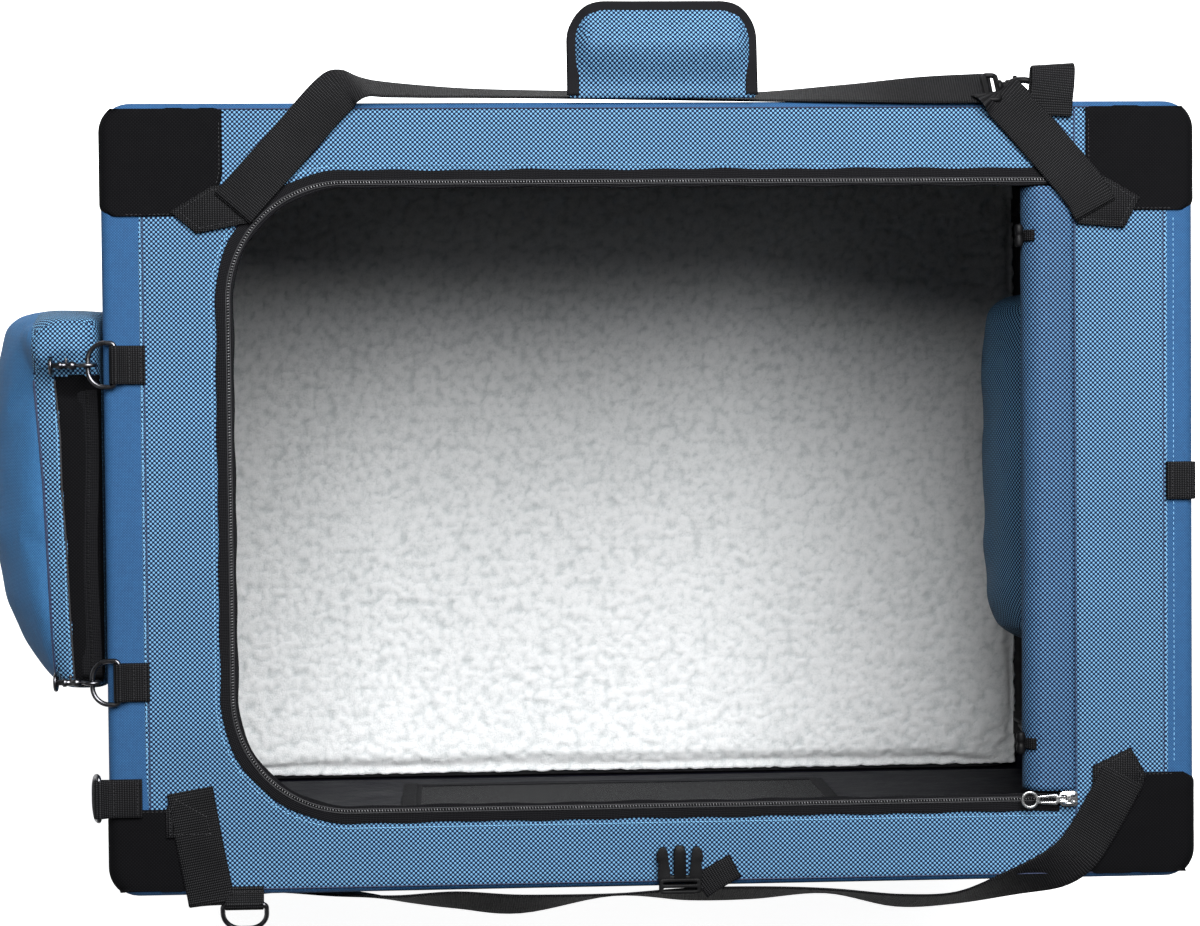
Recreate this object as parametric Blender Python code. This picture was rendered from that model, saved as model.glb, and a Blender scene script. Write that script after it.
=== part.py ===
"""Soft folding dog crate: fabric cover on a folding steel tube frame, metres, +Z up.

+X runs along the crate to the right end, +Y to the back edge. The origin is the centre of the base's rest face.
"""

import math

import bmesh
import bpy
from mathutils import Matrix, Vector

# Driving dimensions of the crate
LENGTH = 0.762
DEPTH = 0.549
HEIGHT = 0.533
PLAN_RADIUS = 0.014

# Cover
FABRIC = 0.002
PATCH = 0.001
GAP = 0.0003
BASE_BAND = 0.039
TOP_BAND = 0.0325
WALL_INSET = 0.0045

# Frame tubes and pivots
LOOP_TUBE = 0.008
LEG_TUBE = 0.0065
LOOP_CORNER = 0.03
LEG_CORNER = 0.024
LEG_FROM_CORNER = 0.045
CROSSBAR_OFFSET = 0.016
PIVOT_CLEAR = 0.001
PLATE = 0.003
PLATE_GAP = 0.0004
RIVET = 0.003
RIVET_CLEAR = 0.0005
RIVET_HEAD = 0.005
RIVET_HEAD_THICK = 0.0014
EYE_RADIUS = 0.006
KNEE_EYE_RADIUS = 0.004
KNEE_RIVET = 0.0017
KNEE_FROM_LEG = 0.034
EYE_NECK = 0.008
KNEE_OVERCENTRE = 0.0003
BRACKET_LENGTH = 0.02
NOTCH_SIDE = 0.002

# Top opening, hinge seam of the door on the right
TOP_STRIP_LEFT = 0.09
TOP_STRIP_RIGHT = 0.0865
TOP_STRIP_BACK = 0.059
TOP_STRIP_FRONT = 0.061
OPENING_RADIUS = 0.078
ZIP_TAPE = 0.0125
ZIP_THICK = 0.0008
ZIP_COIL = 0.0045
ZIP_COIL_THICK = 0.0018
SLIDER_LENGTH = 0.013
SLIDER_WIDTH = 0.0105
SLIDER_HEIGHT = 0.0042
PULL_LENGTH = 0.034
PULL_WIDTH = 0.012
PULL_THICK = 0.0016
SLIDER_FROM_HINGE = 0.006
ZIP_BACK_SHORT = 0.0185

# Rolled top door
ROLL_DIAMETER = 0.033
ROLL_SINK = 0.026
ROLL_END_GAP = 0.012
ROLL_FLAP = 0.018
TIE_WIDTH = 0.008
TIE_THICK = 0.001
TIE_FROM_END = 0.024
TIE_FROM_DEGREES = 215
TIE_SWEEP_DEGREES = 155
TOGGLE_LENGTH = 0.016
TOGGLE_RADIUS = 0.003

# Floor mat
MAT_THICK = 0.0245
MAT_CROWN = 0.0022
MAT_DRAW_IN = 0.002
MAT_END_CLEAR = 0.012
MAT_SIDE_CLEAR = 0.001
MAT_EDGE = 0.009
MAT_BODY_SHARES = ((0, 0.6), (0.15, 0), (1, 0))
MAT_BRIM_SHARES = ((0, 0), (0.4, 0), (0.8, 0.35), (1, 0.9))
MAT_CROWN_SHARES = (0.75, 0.4)

# Front door and back window
DOOR_WIDTH = 0.36
DOOR_SILL = 0.03
DOOR_HEIGHT = 0.36
DOOR_RADIUS = 0.07
DOOR_GAP = 0.0004
WINDOW_WIDTH = 0.44
WINDOW_HEIGHT = 0.26
WINDOW_RADIUS = 0.05
WINDOW_SILL = 0.12
MESH_THICK = 0.001

# Corner patches
PATCH_LONG = 0.078
PATCH_SHORT = 0.071
PATCH_RADIUS = 0.016

# Carrying straps
STRAP_WIDTH = 0.032
STRAP_THICK = 0.0018
LOOP_WIDTH = 0.022
STRAP_STEPS = 7
WRAP_LENGTH = 0.13
WRAP_REACH = 0.062
WRAP_THICK = 0.004
WRAP_RADIUS = 0.018
WRAP_HINGE_OUT = 0.0048
WRAP_SEAT = 0.0005
WRAP_CENTRE = 0.007
WRAP_DROOP = 0.010
BUCKLE_LENGTH = 0.034
BUCKLE_WIDTH = 0.03
BUCKLE_THICK = 0.007
BUCKLE_BASE_SHARE = 0.32
BUCKLE_OUT_SHARE = 0.12
BUCKLE_X = 0.0145
CLIP_LENGTH = 0.042
CLIP_WIDTH = 0.017
CLIP_THICK = 0.008
CLIP_BAR = 0.006
CLIP_X = 0.2535
CLIP_OUT_SHARE = 0.43

# Rings, hooks and tabs
TAB_WIDTH = 0.0265
TAB_THICK = 0.0016
TAB_FOLD = 0.0058
TAB_ON_TOP = 0.031
TAB_SET_IN = 0.0105
RING_WIDTH = 0.0335
RING_REACH = 0.019
RING_WIRE = 0.0017
RING_BEND_SHARE = 0.65
RING_PLAY = 0.0005
BAG_RING_TILT = 11
SPARE_RING_TILT = 72
FRONT_RING_TILT = 20
FRONT_RING_FROM_END = 0.094
RIGHT_TAB_Y = 0.007
RIGHT_TAB_REACH = 0.020
BAG_TAB_BACK = 0.094
BAG_TAB_FRONT = -0.124
SPARE_TAB_FROM_FRONT = 0.0705

# Storage bag and inner pouch
BAG_WIDTH = 0.274
BAG_DEPTH = 0.058
BAG_HEIGHT = 0.18
BAG_CENTRE = -0.001
BAG_DROP = 0.017
BAG_EDGE = 0.014
BAG_BELLY = 0.034
BAG_TUCK_SHARES = ((0, 0.9), (0.06, 0.35), (0.2, 0.05), (0.45, 0), (0.8, 0.25), (0.95, 0.5), (1, 0.9))
HOOK_LENGTH = 0.026
HOOK_WIRE = 0.0022
POUCH_TOP = 0.43
POUCH_CENTRE = 0.010

# Places worked out from the sizes above
END_SKIN = LENGTH / 2
SIDE_SKIN = DEPTH / 2
OPENING_LEFT = END_SKIN - TOP_STRIP_LEFT
OPENING_RIGHT = END_SKIN - TOP_STRIP_RIGHT
OPENING_BACK = SIDE_SKIN - TOP_STRIP_BACK
OPENING_FRONT = SIDE_SKIN - TOP_STRIP_FRONT
COVER_END = END_SKIN - PATCH - GAP
COVER_SIDE = SIDE_SKIN - PATCH - GAP
COVER_TOP = HEIGHT - PATCH - GAP
PANEL_UNDER = COVER_TOP - FABRIC
LOOP_X = COVER_END - FABRIC - GAP - LOOP_TUBE
LOOP_Y = COVER_SIDE - FABRIC - GAP - LOOP_TUBE
BASE_LOOP_Z = FABRIC + GAP + LOOP_TUBE
TOP_LOOP_Z = PANEL_UNDER - GAP - LOOP_TUBE
BASE_PIVOT_Z = BASE_BAND + PIVOT_CLEAR
TOP_PIVOT_Z = HEIGHT - TOP_BAND
KNEE_Z = (BASE_PIVOT_Z + TOP_PIVOT_Z) / 2
KNEE_X = END_SKIN - KNEE_EYE_RADIUS
WALL_OUT_X = KNEE_X - KNEE_OVERCENTRE
LEG_X = WALL_OUT_X - FABRIC - GAP - LEG_TUBE
LEG_Y = SIDE_SKIN - LEG_FROM_CORNER
KNEE_Y = LEG_Y - KNEE_FROM_LEG
WALL_OUT_Y = SIDE_SKIN - WALL_INSET
SPARE_TAB_Y = SPARE_TAB_FROM_FRONT - SIDE_SKIN

BLUE = ((0.055, 0.155, 0.34, 1), 0.85, 0)
DARK = ((0.010, 0.010, 0.013, 1), 0.8, 0)
MESH = ((0.015, 0.015, 0.018, 1), 0.9, 0)
FLEECE = ((0.86, 0.85, 0.82, 1), 0.95, 0)
STEEL = ((0.03, 0.03, 0.033, 1), 0.4, 0.6)
ZINC = ((0.45, 0.45, 0.46, 1), 0.3, 1)
GUNMETAL = ((0.10, 0.10, 0.11, 1), 0.3, 1)
PLASTIC = ((0.012, 0.012, 0.013, 1), 0.45, 0)


def clear_scene():
    for obj in list(bpy.data.objects):
        bpy.data.objects.remove(obj, do_unlink=True)


def material(name, look):
    """A plain surface with its colour, roughness and metallic value."""
    made = bpy.data.materials.new(name)
    made.use_nodes = True
    shader = made.node_tree.nodes["Principled BSDF"]
    shader.inputs["Base Color"].default_value = look[0]
    shader.inputs["Roughness"].default_value = look[1]
    shader.inputs["Metallic"].default_value = look[2]
    return made


def add(name, bm, look, origin=(0, 0, 0), parent=None):
    """Turns a bmesh made in world places into a named object with its origin at the given point."""
    bmesh.ops.recalc_face_normals(bm, faces=bm.faces)
    bmesh.ops.translate(bm, verts=bm.verts, vec=-Vector(origin))
    mesh = bpy.data.meshes.new(name)
    bm.to_mesh(mesh)
    bm.free()
    mesh.shade_smooth()
    mesh.set_sharp_from_angle(angle=math.radians(35))
    mesh.materials.append(material(name + "_look", look))
    obj = bpy.data.objects.new(name, mesh)
    obj.location = origin
    bpy.context.scene.collection.objects.link(obj)
    if parent:
        bpy.context.view_layer.update()
        obj.parent = parent
        obj.matrix_parent_inverse = parent.matrix_world.inverted()
    return obj


def pivot(name, place, parent=None):
    """An empty on a joint's axis that carries the pieces that turn with it."""
    empty = bpy.data.objects.new(name, None)
    empty.location = place
    bpy.context.scene.collection.objects.link(empty)
    if parent:
        bpy.context.view_layer.update()
        empty.parent = parent
        empty.matrix_parent_inverse = parent.matrix_world.inverted()
    bpy.context.view_layer.update()
    return empty


def combine(obj, bm, operation):
    """Applies a Boolean of the bmesh to the object."""
    bmesh.ops.recalc_face_normals(bm, faces=bm.faces)
    mesh = bpy.data.meshes.new(obj.name + "_tool")
    bm.to_mesh(mesh)
    bm.free()
    tool = bpy.data.objects.new(obj.name + "_tool", mesh)
    bpy.context.scene.collection.objects.link(tool)
    tool.hide_render = True
    tool.display_type = "WIRE"
    change = obj.modifiers.new(operation.lower(), "BOOLEAN")
    change.operation = operation
    change.object = tool
    bpy.context.view_layer.update()
    graph = bpy.context.evaluated_depsgraph_get()
    old = obj.data
    obj.data = bpy.data.meshes.new_from_object(obj.evaluated_get(graph))
    obj.data.name = obj.name
    obj.modifiers.clear()
    bpy.data.meshes.remove(old)
    bpy.data.objects.remove(tool, do_unlink=True)
    obj.data.shade_smooth()
    obj.data.set_sharp_from_angle(angle=math.radians(35))


def rounded_outline(x0, x1, y0, y1, radii, steps=6):
    """Points of a rectangle with rounded corners, anticlockwise from the lower left corner."""
    if not hasattr(radii, "__len__"):
        radii = (radii,) * 4
    corners = ((x0, y0, 1, 1, 180), (x1, y0, -1, 1, 270), (x1, y1, -1, -1, 0), (x0, y1, 1, -1, 90))
    points = []
    for (x, y, inward_x, inward_y, start), radius in zip(corners, radii):
        if not radius:
            points.append((x, y))
            continue
        for step in range(steps + 1):
            angle = math.radians(start + 90 * step / steps)
            points.append((x + inward_x * radius + radius * math.cos(angle),
                           y + inward_y * radius + radius * math.sin(angle)))
    return points


def prism(outline, low, high, turn=None):
    """A solid between two levels of one outline; turn maps its local frame to the world."""
    bm = bmesh.new()
    bottom = [bm.verts.new((x, y, low)) for x, y in outline]
    top = [bm.verts.new((x, y, high)) for x, y in outline]
    bm.faces.new(bottom[::-1])
    bm.faces.new(top)
    count = len(outline)
    for i in range(count):
        j = (i + 1) % count
        bm.faces.new((bottom[i], bottom[j], top[j], top[i]))
    if turn:
        bmesh.ops.transform(bm, matrix=turn, verts=bm.verts)
    return bm


def lofted(rings, turn=None):
    """A closed solid through rings of equal point count, capped at both ends."""
    bm = bmesh.new()
    rows = [[bm.verts.new(point) for point in ring] for ring in rings]
    bm.faces.new(rows[0][::-1])
    bm.faces.new(rows[-1])
    count = len(rows[0])
    for first, second in zip(rows, rows[1:]):
        for i in range(count):
            j = (i + 1) % count
            bm.faces.new((first[i], first[j], second[j], second[i]))
    if turn:
        bmesh.ops.transform(bm, matrix=turn, verts=bm.verts)
    return bm


def frame_at(place, side, up):
    """The matrix whose X is side and Z is up, at a place."""
    z = Vector(up).normalized()
    x = Vector(side).normalized()
    y = z.cross(x)
    turn = Matrix((x, y, z)).transposed().to_4x4()
    turn.translation = place
    return turn


def box(low, high):
    outline = ((low[0], low[1]), (high[0], low[1]), (high[0], high[1]), (low[0], high[1]))
    return prism(outline, low[2], high[2])


def cylinder(start, end, radius, sides=12):
    """A round bar between two points."""
    axis = Vector(end) - Vector(start)
    bm = bmesh.new()
    bmesh.ops.create_cone(bm, cap_ends=True, segments=sides, radius1=radius, radius2=radius, depth=axis.length)
    turn = axis.to_track_quat("Z", "Y").to_matrix().to_4x4()
    turn.translation = (Vector(start) + Vector(end)) / 2
    bmesh.ops.transform(bm, matrix=turn, verts=bm.verts)
    return bm


def tube(points, radius, sides=10, closed=False):
    """A round tube along a path, with the ring turned as little as possible from point to point."""
    path = [Vector(point) for point in points]
    count = len(path)
    bm = bmesh.new()
    rows = []
    normal = None
    for i, here in enumerate(path):
        after = path[(i + 1) % count] if closed or i < count - 1 else here
        before = path[i - 1] if closed or i else here
        along = (after - before).normalized()
        if normal is None:
            normal = along.orthogonal().normalized()
        normal = (normal - along * normal.dot(along)).normalized()
        other = along.cross(normal)
        row = []
        for k in range(sides):
            angle = math.tau * (k + 0.5) / sides
            row.append(bm.verts.new(here + radius * (math.cos(angle) * normal + math.sin(angle) * other)))
        rows.append(row)
    pairs = list(zip(rows, rows[1:]))
    if closed:
        pairs.append((rows[-1], rows[0]))
    for first, second in pairs:
        for k in range(sides):
            m = (k + 1) % sides
            bm.faces.new((first[k], first[m], second[m], second[k]))
    if not closed:
        bm.faces.new(rows[0][::-1])
        bm.faces.new(rows[-1])
    return bm


def smooth_path(points, steps):
    """A curve through the points, as Catmull and Rom draw it."""
    path = [Vector(point) for point in points]
    path = [2 * path[0] - path[1]] + path + [2 * path[-1] - path[-2]]
    curve = []
    for i in range(1, len(path) - 2):
        a, b, c, d = path[i - 1:i + 3]
        for step in range(steps):
            t = step / steps
            curve.append(0.5 * (2 * b + (c - a) * t + (2 * a - 5 * b + 4 * c - d) * t**2
                                + (3 * b - a - 3 * c + d) * t**3))
    curve.append(path[-2])
    return curve


def ribbon(points, sides, width, thick, steps=STRAP_STEPS):
    """Flat webbing along a path; sides gives the direction of its width at each point."""
    path = smooth_path(points, steps)
    across = smooth_path(sides, steps)
    rings = []
    for i, here in enumerate(path):
        along = (path[min(i + 1, len(path) - 1)] - path[max(i - 1, 0)]).normalized()
        side = (across[i] - along * across[i].dot(along)).normalized()
        up = along.cross(side)
        rings.append([here + a * side * width / 2 + b * up * thick / 2
                      for a, b in ((-1, -1), (1, -1), (1, 1), (-1, 1))])
    return lofted(rings)


def tray(name, low, high, panel_on_top, parent):
    """A shallow fabric tray: a flat panel with a band round it."""
    end = COVER_END - FABRIC
    side = COVER_SIDE - FABRIC
    outline = rounded_outline(-COVER_END, COVER_END, -COVER_SIDE, COVER_SIDE, PLAN_RADIUS)
    inner = rounded_outline(-end, end, -side, side, PLAN_RADIUS - FABRIC)
    obj = add(name, prism(outline, low, high), BLUE, parent=parent)
    hollow_low = low - FABRIC if panel_on_top else low + FABRIC
    hollow_high = high - FABRIC if panel_on_top else high + FABRIC
    combine(obj, prism(inner, hollow_low, hollow_high), "DIFFERENCE")
    return obj


def soften(obj, width, angle=60):
    """Rounds the object's sharp edges."""
    bevel = obj.modifiers.new("soft edge", "BEVEL")
    bevel.width = width
    bevel.segments = 2
    bevel.limit_method = "ANGLE"
    bevel.angle_limit = math.radians(angle)


def make_base(root):
    """Fabric tray, tube loop and fleece mat."""
    tray("base_cover", 0, BASE_BAND, False, root)
    loop = [(x, y, BASE_LOOP_Z) for x, y in rounded_outline(-LOOP_X, LOOP_X, -LOOP_Y, LOOP_Y, LOOP_CORNER)]
    add("base_frame", tube(loop, LOOP_TUBE, closed=True), STEEL, parent=root)
    add("fleece_mat", mat_solid(), FLEECE, parent=root)


def mat_solid():
    """The floor mat: a body inside the base tube, and a crowned top whose brim lies over the tube."""
    end = LOOP_X - LOOP_TUBE - MAT_END_CLEAR
    floor = FABRIC + GAP
    step = BASE_LOOP_Z + LOOP_TUBE + GAP
    brim = floor + MAT_THICK - MAT_CROWN
    body_side = LOOP_Y - LOOP_TUBE - MAT_SIDE_CLEAR
    brim_side = WALL_OUT_Y - FABRIC - MAT_SIDE_CLEAR
    rings = []
    tiers = ((floor, step, body_side, MAT_BODY_SHARES), (step, brim, brim_side, MAT_BRIM_SHARES))
    for low, high, side, shares in tiers:
        for share, inset_share in shares:
            inset = MAT_EDGE * inset_share
            ring = []
            for x, y in rounded_outline(inset - end, end - inset, inset - side, side - inset, PLAN_RADIUS):
                draw = MAT_DRAW_IN * (1 - (x / end) ** 2) if abs(y) > side - 2 * MAT_EDGE else 0
                ring.append((x, y - math.copysign(draw, y), low + share * (high - low)))
            rings.append(ring)
    for share in MAT_CROWN_SHARES:
        top = floor + MAT_THICK - MAT_CROWN * share * share
        rings.append([(x * share, y * share, top) for x, y, z in ring])
    return lofted(rings)


def half_frame(name, sign, upper, parent):
    """One U of leg tube with its pivot plates: the lower half stands on the base, the upper half hangs from the top."""
    pivot_z = TOP_PIVOT_Z if upper else BASE_PIVOT_Z
    way = -1 if upper else 1
    bar_z = KNEE_Z - way * CROSSBAR_OFFSET
    start = pivot_z + way * EYE_NECK
    path = [(-LEG_Y, start)]
    for centre_y, first in ((LEG_CORNER - LEG_Y, 180), (LEG_Y - LEG_CORNER, 90)):
        for step in range(6):
            angle = math.radians(first - 90 * step / 5)
            path.append((centre_y + LEG_CORNER * math.cos(angle),
                         bar_z - way * LEG_CORNER + way * LEG_CORNER * math.sin(angle)))
    path.append((LEG_Y, start))
    leg_x = sign * LEG_X
    solid = tube([(leg_x, y, z) for y, z in path], LEG_TUBE)
    obj = add(name, solid, STEEL, parent=parent)
    for side in (-1, 1):
        combine(obj, eye_plate((leg_x, side * LEG_Y, pivot_z), (leg_x, start + way * EYE_NECK), EYE_RADIUS,
                               side * LEG_Y), "UNION")
        hole_y = side * LEG_Y
        combine(obj, cylinder((leg_x, hole_y - PLATE, pivot_z), (leg_x, hole_y + PLATE, pivot_z),
                              RIVET + RIVET_CLEAR), "DIFFERENCE")
        knee_y = side * (KNEE_Y + (PLATE + PLATE_GAP if upper else 0))
        knee = (sign * KNEE_X, knee_y, KNEE_Z)
        combine(obj, eye_plate(knee, (leg_x, bar_z), KNEE_EYE_RADIUS, knee_y), "UNION")
        combine(obj, cylinder((knee[0], knee_y - PLATE, KNEE_Z), (knee[0], knee_y + PLATE, KNEE_Z),
                              KNEE_RIVET + RIVET_CLEAR, 10), "DIFFERENCE")
    return obj


def eye_plate(eye, root, radius, y):
    """A flat strap in the XZ plane: round about its eye, running to a root point in the tube."""
    run = Vector((root[0] - eye[0], root[1] - eye[2]))
    angle = math.atan2(run.y, run.x)
    outline = []
    for step in range(9):
        turn = angle + math.pi / 2 + math.pi * step / 8
        outline.append((eye[0] + radius * math.cos(turn), eye[2] + radius * math.sin(turn)))
    far = run.length
    for way in (-1, 1):
        outline.append((eye[0] + far * math.cos(angle) - way * radius * math.sin(angle),
                        eye[2] + far * math.sin(angle) + way * radius * math.cos(angle)))
    turn = frame_at((0, y, 0), (1, 0, 0), (0, -1, 0))
    return prism(outline, -PLATE / 2, PLATE / 2, turn)


def pivot_bracket(name, sign, side, upper, parent):
    """A saddle on the loop tube with an upright plate and its rivet through the leg's eye."""
    pivot_z = TOP_PIVOT_Z if upper else BASE_PIVOT_Z
    loop_z = TOP_LOOP_Z if upper else BASE_LOOP_Z
    way = -1 if upper else 1
    x = sign * LEG_X
    inner = side * (LEG_Y - PLATE - PLATE_GAP)
    saddle_z = loop_z + way * (LOOP_TUBE + GAP)
    plate = eye_plate((x, inner, pivot_z), (x, saddle_z), EYE_RADIUS, inner)
    obj = add(name, plate, STEEL, parent=parent)
    far = saddle_z + way * PLATE
    low, high = min(saddle_z, far), max(saddle_z, far)
    combine(obj, box((x - EYE_RADIUS, side * LEG_Y - BRACKET_LENGTH / 2, low),
                     (x + EYE_RADIUS, side * LEG_Y + BRACKET_LENGTH / 2, high)), "UNION")
    tip = side * (LEG_Y + PLATE / 2 + PLATE_GAP)
    head = tip + side * RIVET_HEAD_THICK
    combine(obj, cylinder((x, inner, pivot_z), (x, tip + side * RIVET_HEAD_THICK / 2, pivot_z), RIVET), "UNION")
    combine(obj, cylinder((x, tip, pivot_z), (x, head, pivot_z), RIVET_HEAD), "UNION")
    return obj


def knee_rivet(name, sign, side, parent):
    """The rivet that joins a lower and an upper knee plate."""
    x = sign * KNEE_X
    first = side * (KNEE_Y - PLATE / 2 - PLATE_GAP)
    second = side * (KNEE_Y + PLATE * 1.5 + 2 * PLATE_GAP)
    shank = cylinder((x, first, KNEE_Z), (x, second, KNEE_Z), KNEE_RIVET, 10)
    obj = add(name, shank, ZINC, parent=parent)
    for tip, way in ((first, -side), (second, side)):
        combine(obj, cylinder((x, tip - way * RIVET_HEAD_THICK / 4, KNEE_Z),
                              (x, tip + way * RIVET_HEAD_THICK, KNEE_Z),
                              KNEE_EYE_RADIUS - KNEE_OVERCENTRE, 10), "UNION")
    return obj


def half_wall(name, sign, upper, parent):
    """Half of an end wall, slit at its crease where the knee plates pass through."""
    low = KNEE_Z + KNEE_OVERCENTRE if upper else BASE_PIVOT_Z + PIVOT_CLEAR
    high = TOP_PIVOT_Z - PIVOT_CLEAR if upper else KNEE_Z - KNEE_OVERCENTRE
    outer = sign * WALL_OUT_X
    inner = sign * (WALL_OUT_X - FABRIC)
    half = WALL_OUT_Y - FABRIC - GAP
    obj = add(name, box((min(outer, inner), -half, low), (max(outer, inner), half, high)), BLUE, parent=parent)
    slit_depth = CROSSBAR_OFFSET + KNEE_EYE_RADIUS
    slit_low = KNEE_Z - FABRIC if upper else KNEE_Z - slit_depth
    slit_high = KNEE_Z + slit_depth if upper else KNEE_Z + FABRIC
    for side in (-1, 1):
        ends = sorted((side * (KNEE_Y - PLATE - RIVET_HEAD_THICK - NOTCH_SIDE),
                       side * (KNEE_Y + 2 * PLATE + RIVET_HEAD_THICK + NOTCH_SIDE)))
        combine(obj, box((min(outer, inner) - FABRIC, ends[0], slit_low),
                         (max(outer, inner) + FABRIC, ends[1], slit_high)), "DIFFERENCE")
    return obj


def long_wall(name, side, outline, parent):
    """A front or back wall with an opening cut in it."""
    low = BASE_BAND + GAP
    high = TOP_PIVOT_Z - GAP
    outer = side * WALL_OUT_Y
    inner = side * (WALL_OUT_Y - FABRIC)
    obj = add(name, box((-WALL_OUT_X, min(outer, inner), low), (WALL_OUT_X, max(outer, inner), high)), BLUE,
              parent=parent)
    turn = frame_at((0, outer, 0), (1, 0, 0), (0, -1, 0))
    combine(obj, prism(outline, -2 * FABRIC, 2 * FABRIC, turn), "DIFFERENCE")
    return obj


def make_walls(root):
    """Front wall with its zip door, and back wall with its mesh window."""
    sill = BASE_BAND + DOOR_SILL
    door_hole = rounded_outline(-DOOR_WIDTH / 2, DOOR_WIDTH / 2, sill, sill + DOOR_HEIGHT,
                                (0, 0, DOOR_RADIUS, DOOR_RADIUS))
    long_wall("front_wall", -1, door_hole, root)
    leaf = rounded_outline(DOOR_GAP - DOOR_WIDTH / 2, DOOR_WIDTH / 2 - DOOR_GAP, sill + DOOR_GAP,
                           sill + DOOR_HEIGHT - DOOR_GAP, (0, 0, DOOR_RADIUS - DOOR_GAP, DOOR_RADIUS - DOOR_GAP))
    hinge = (-DOOR_WIDTH / 2, -WALL_OUT_Y, sill)
    door_turn = pivot("front_door_pivot", hinge, root)
    turn = frame_at((0, FABRIC / 2 - WALL_OUT_Y, 0), (1, 0, 0), (0, -1, 0))
    add("front_door", prism(leaf, -FABRIC / 2, FABRIC / 2, turn), MESH, hinge, door_turn)
    window_sill = BASE_BAND + WINDOW_SILL
    hole = rounded_outline(-WINDOW_WIDTH / 2, WINDOW_WIDTH / 2, window_sill, window_sill + WINDOW_HEIGHT,
                           WINDOW_RADIUS)
    long_wall("back_wall", 1, hole, root)
    pane = rounded_outline(GAP - WINDOW_WIDTH / 2, WINDOW_WIDTH / 2 - GAP, window_sill + GAP,
                           window_sill + WINDOW_HEIGHT - GAP, WINDOW_RADIUS - GAP)
    turn = frame_at((0, WALL_OUT_Y - FABRIC / 2, 0), (1, 0, 0), (0, -1, 0))
    add("back_window", prism(pane, -MESH_THICK / 2, MESH_THICK / 2, turn), MESH, parent=root)


def make_top(parent):
    """Top frame loop and the fabric cover with its door opening."""
    loop = [(x, y, TOP_LOOP_Z) for x, y in rounded_outline(-LOOP_X, LOOP_X, -LOOP_Y, LOOP_Y, LOOP_CORNER)]
    add("top_frame", tube(loop, LOOP_TUBE, closed=True), STEEL, parent=parent)
    cover = tray("top_cover", TOP_PIVOT_Z, COVER_TOP, True, parent)
    opening = rounded_outline(-OPENING_LEFT, OPENING_RIGHT, -OPENING_FRONT, OPENING_BACK,
                              (OPENING_RADIUS, 0, 0, OPENING_RADIUS), 8)
    combine(cover, prism(opening, PANEL_UNDER - FABRIC, COVER_TOP + FABRIC), "DIFFERENCE")


def open_loop(inset, reach):
    """The three zipped sides of the opening, moved outwards by inset, from the hinge seam round to the back."""
    left = OPENING_LEFT + inset
    front = OPENING_FRONT + inset
    back = OPENING_BACK + inset
    radius = OPENING_RADIUS + inset
    points = [(reach, -front)]
    for centre_y, first in ((radius - front, 270), (back - radius, 180)):
        for step in range(9):
            angle = math.radians(first - 90 * step / 8)
            points.append((radius - left + radius * math.cos(angle), centre_y + radius * math.sin(angle)))
    points.append((reach - ZIP_BACK_SHORT, back))
    return points


def make_zip(parent):
    """Tape with its coil along the opening, and the slider with its pull tab at the hinge end."""
    reach = OPENING_RIGHT - GAP
    low = COVER_TOP + GAP
    outer = open_loop(ZIP_TAPE, reach)
    inner = open_loop(0, reach)
    tape = add("top_zip", prism(outer + inner[::-1], low, low + ZIP_THICK), DARK, parent=parent)
    coil_out = open_loop(ZIP_COIL, reach - FABRIC)
    coil_in = open_loop(ZIP_COIL / 8, reach - FABRIC)
    combine(tape, prism(coil_out + coil_in[::-1], low + ZIP_THICK / 2, low + ZIP_COIL_THICK), "UNION")

    rail = -OPENING_FRONT - ZIP_COIL / 2
    centre = OPENING_RIGHT - SLIDER_FROM_HINGE
    base_z = low + ZIP_COIL_THICK + GAP
    slider = add("zip_slider", prism(
        rounded_outline(centre - SLIDER_LENGTH / 2, centre + SLIDER_LENGTH / 2, rail - SLIDER_WIDTH / 2,
                        rail + SLIDER_WIDTH / 2, SLIDER_WIDTH / 3, 3),
        base_z, base_z + SLIDER_HEIGHT / 2), ZINC, (centre, rail, base_z), parent)
    eye_z = base_z + SLIDER_HEIGHT
    pin = PULL_THICK / 2
    lug = pin + 2 * GAP
    for way in (-1, 1):
        middle = rail + way * SLIDER_WIDTH / 4
        combine(slider, box((centre - lug, middle - PULL_THICK / 3, base_z + pin),
                            (centre + lug, middle + PULL_THICK / 3, eye_z + lug)), "UNION")
    combine(slider, cylinder((centre, rail - SLIDER_WIDTH / 4, eye_z), (centre, rail + SLIDER_WIDTH / 4, eye_z),
                             pin, 8), "UNION")
    turn = pivot("zip_pull_pivot", (centre, rail, eye_z), slider)
    narrow = SLIDER_WIDTH / 4 - PULL_THICK / 3 - GAP
    outline = rounded_outline(centre - PULL_LENGTH + PULL_WIDTH / 4, centre - pin, rail - narrow, rail + narrow, 0)
    pull = add("zip_pull", prism(outline, eye_z - pin, eye_z + pin), ZINC, (centre, rail, eye_z), turn)
    combine(pull, cylinder((centre, rail - narrow, eye_z), (centre, rail + narrow, eye_z), pin * 2 + GAP, 12),
            "UNION")
    grip = rounded_outline(centre - PULL_LENGTH, centre - SLIDER_LENGTH, rail - PULL_WIDTH / 2,
                           rail + PULL_WIDTH / 2, PULL_WIDTH / 2 - pin, 4)
    combine(pull, prism(grip, eye_z - pin, eye_z + pin), "UNION")
    hole = PULL_WIDTH / 2 - PULL_THICK
    ring_x = centre - PULL_LENGTH + PULL_WIDTH / 2
    combine(pull, cylinder((ring_x, rail, eye_z - PULL_THICK), (ring_x, rail, eye_z + PULL_THICK), hole, 10),
            "DIFFERENCE")
    combine(pull, cylinder((centre, rail - PULL_WIDTH, eye_z), (centre, rail + PULL_WIDTH, eye_z), pin + GAP, 12),
            "DIFFERENCE")


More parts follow.
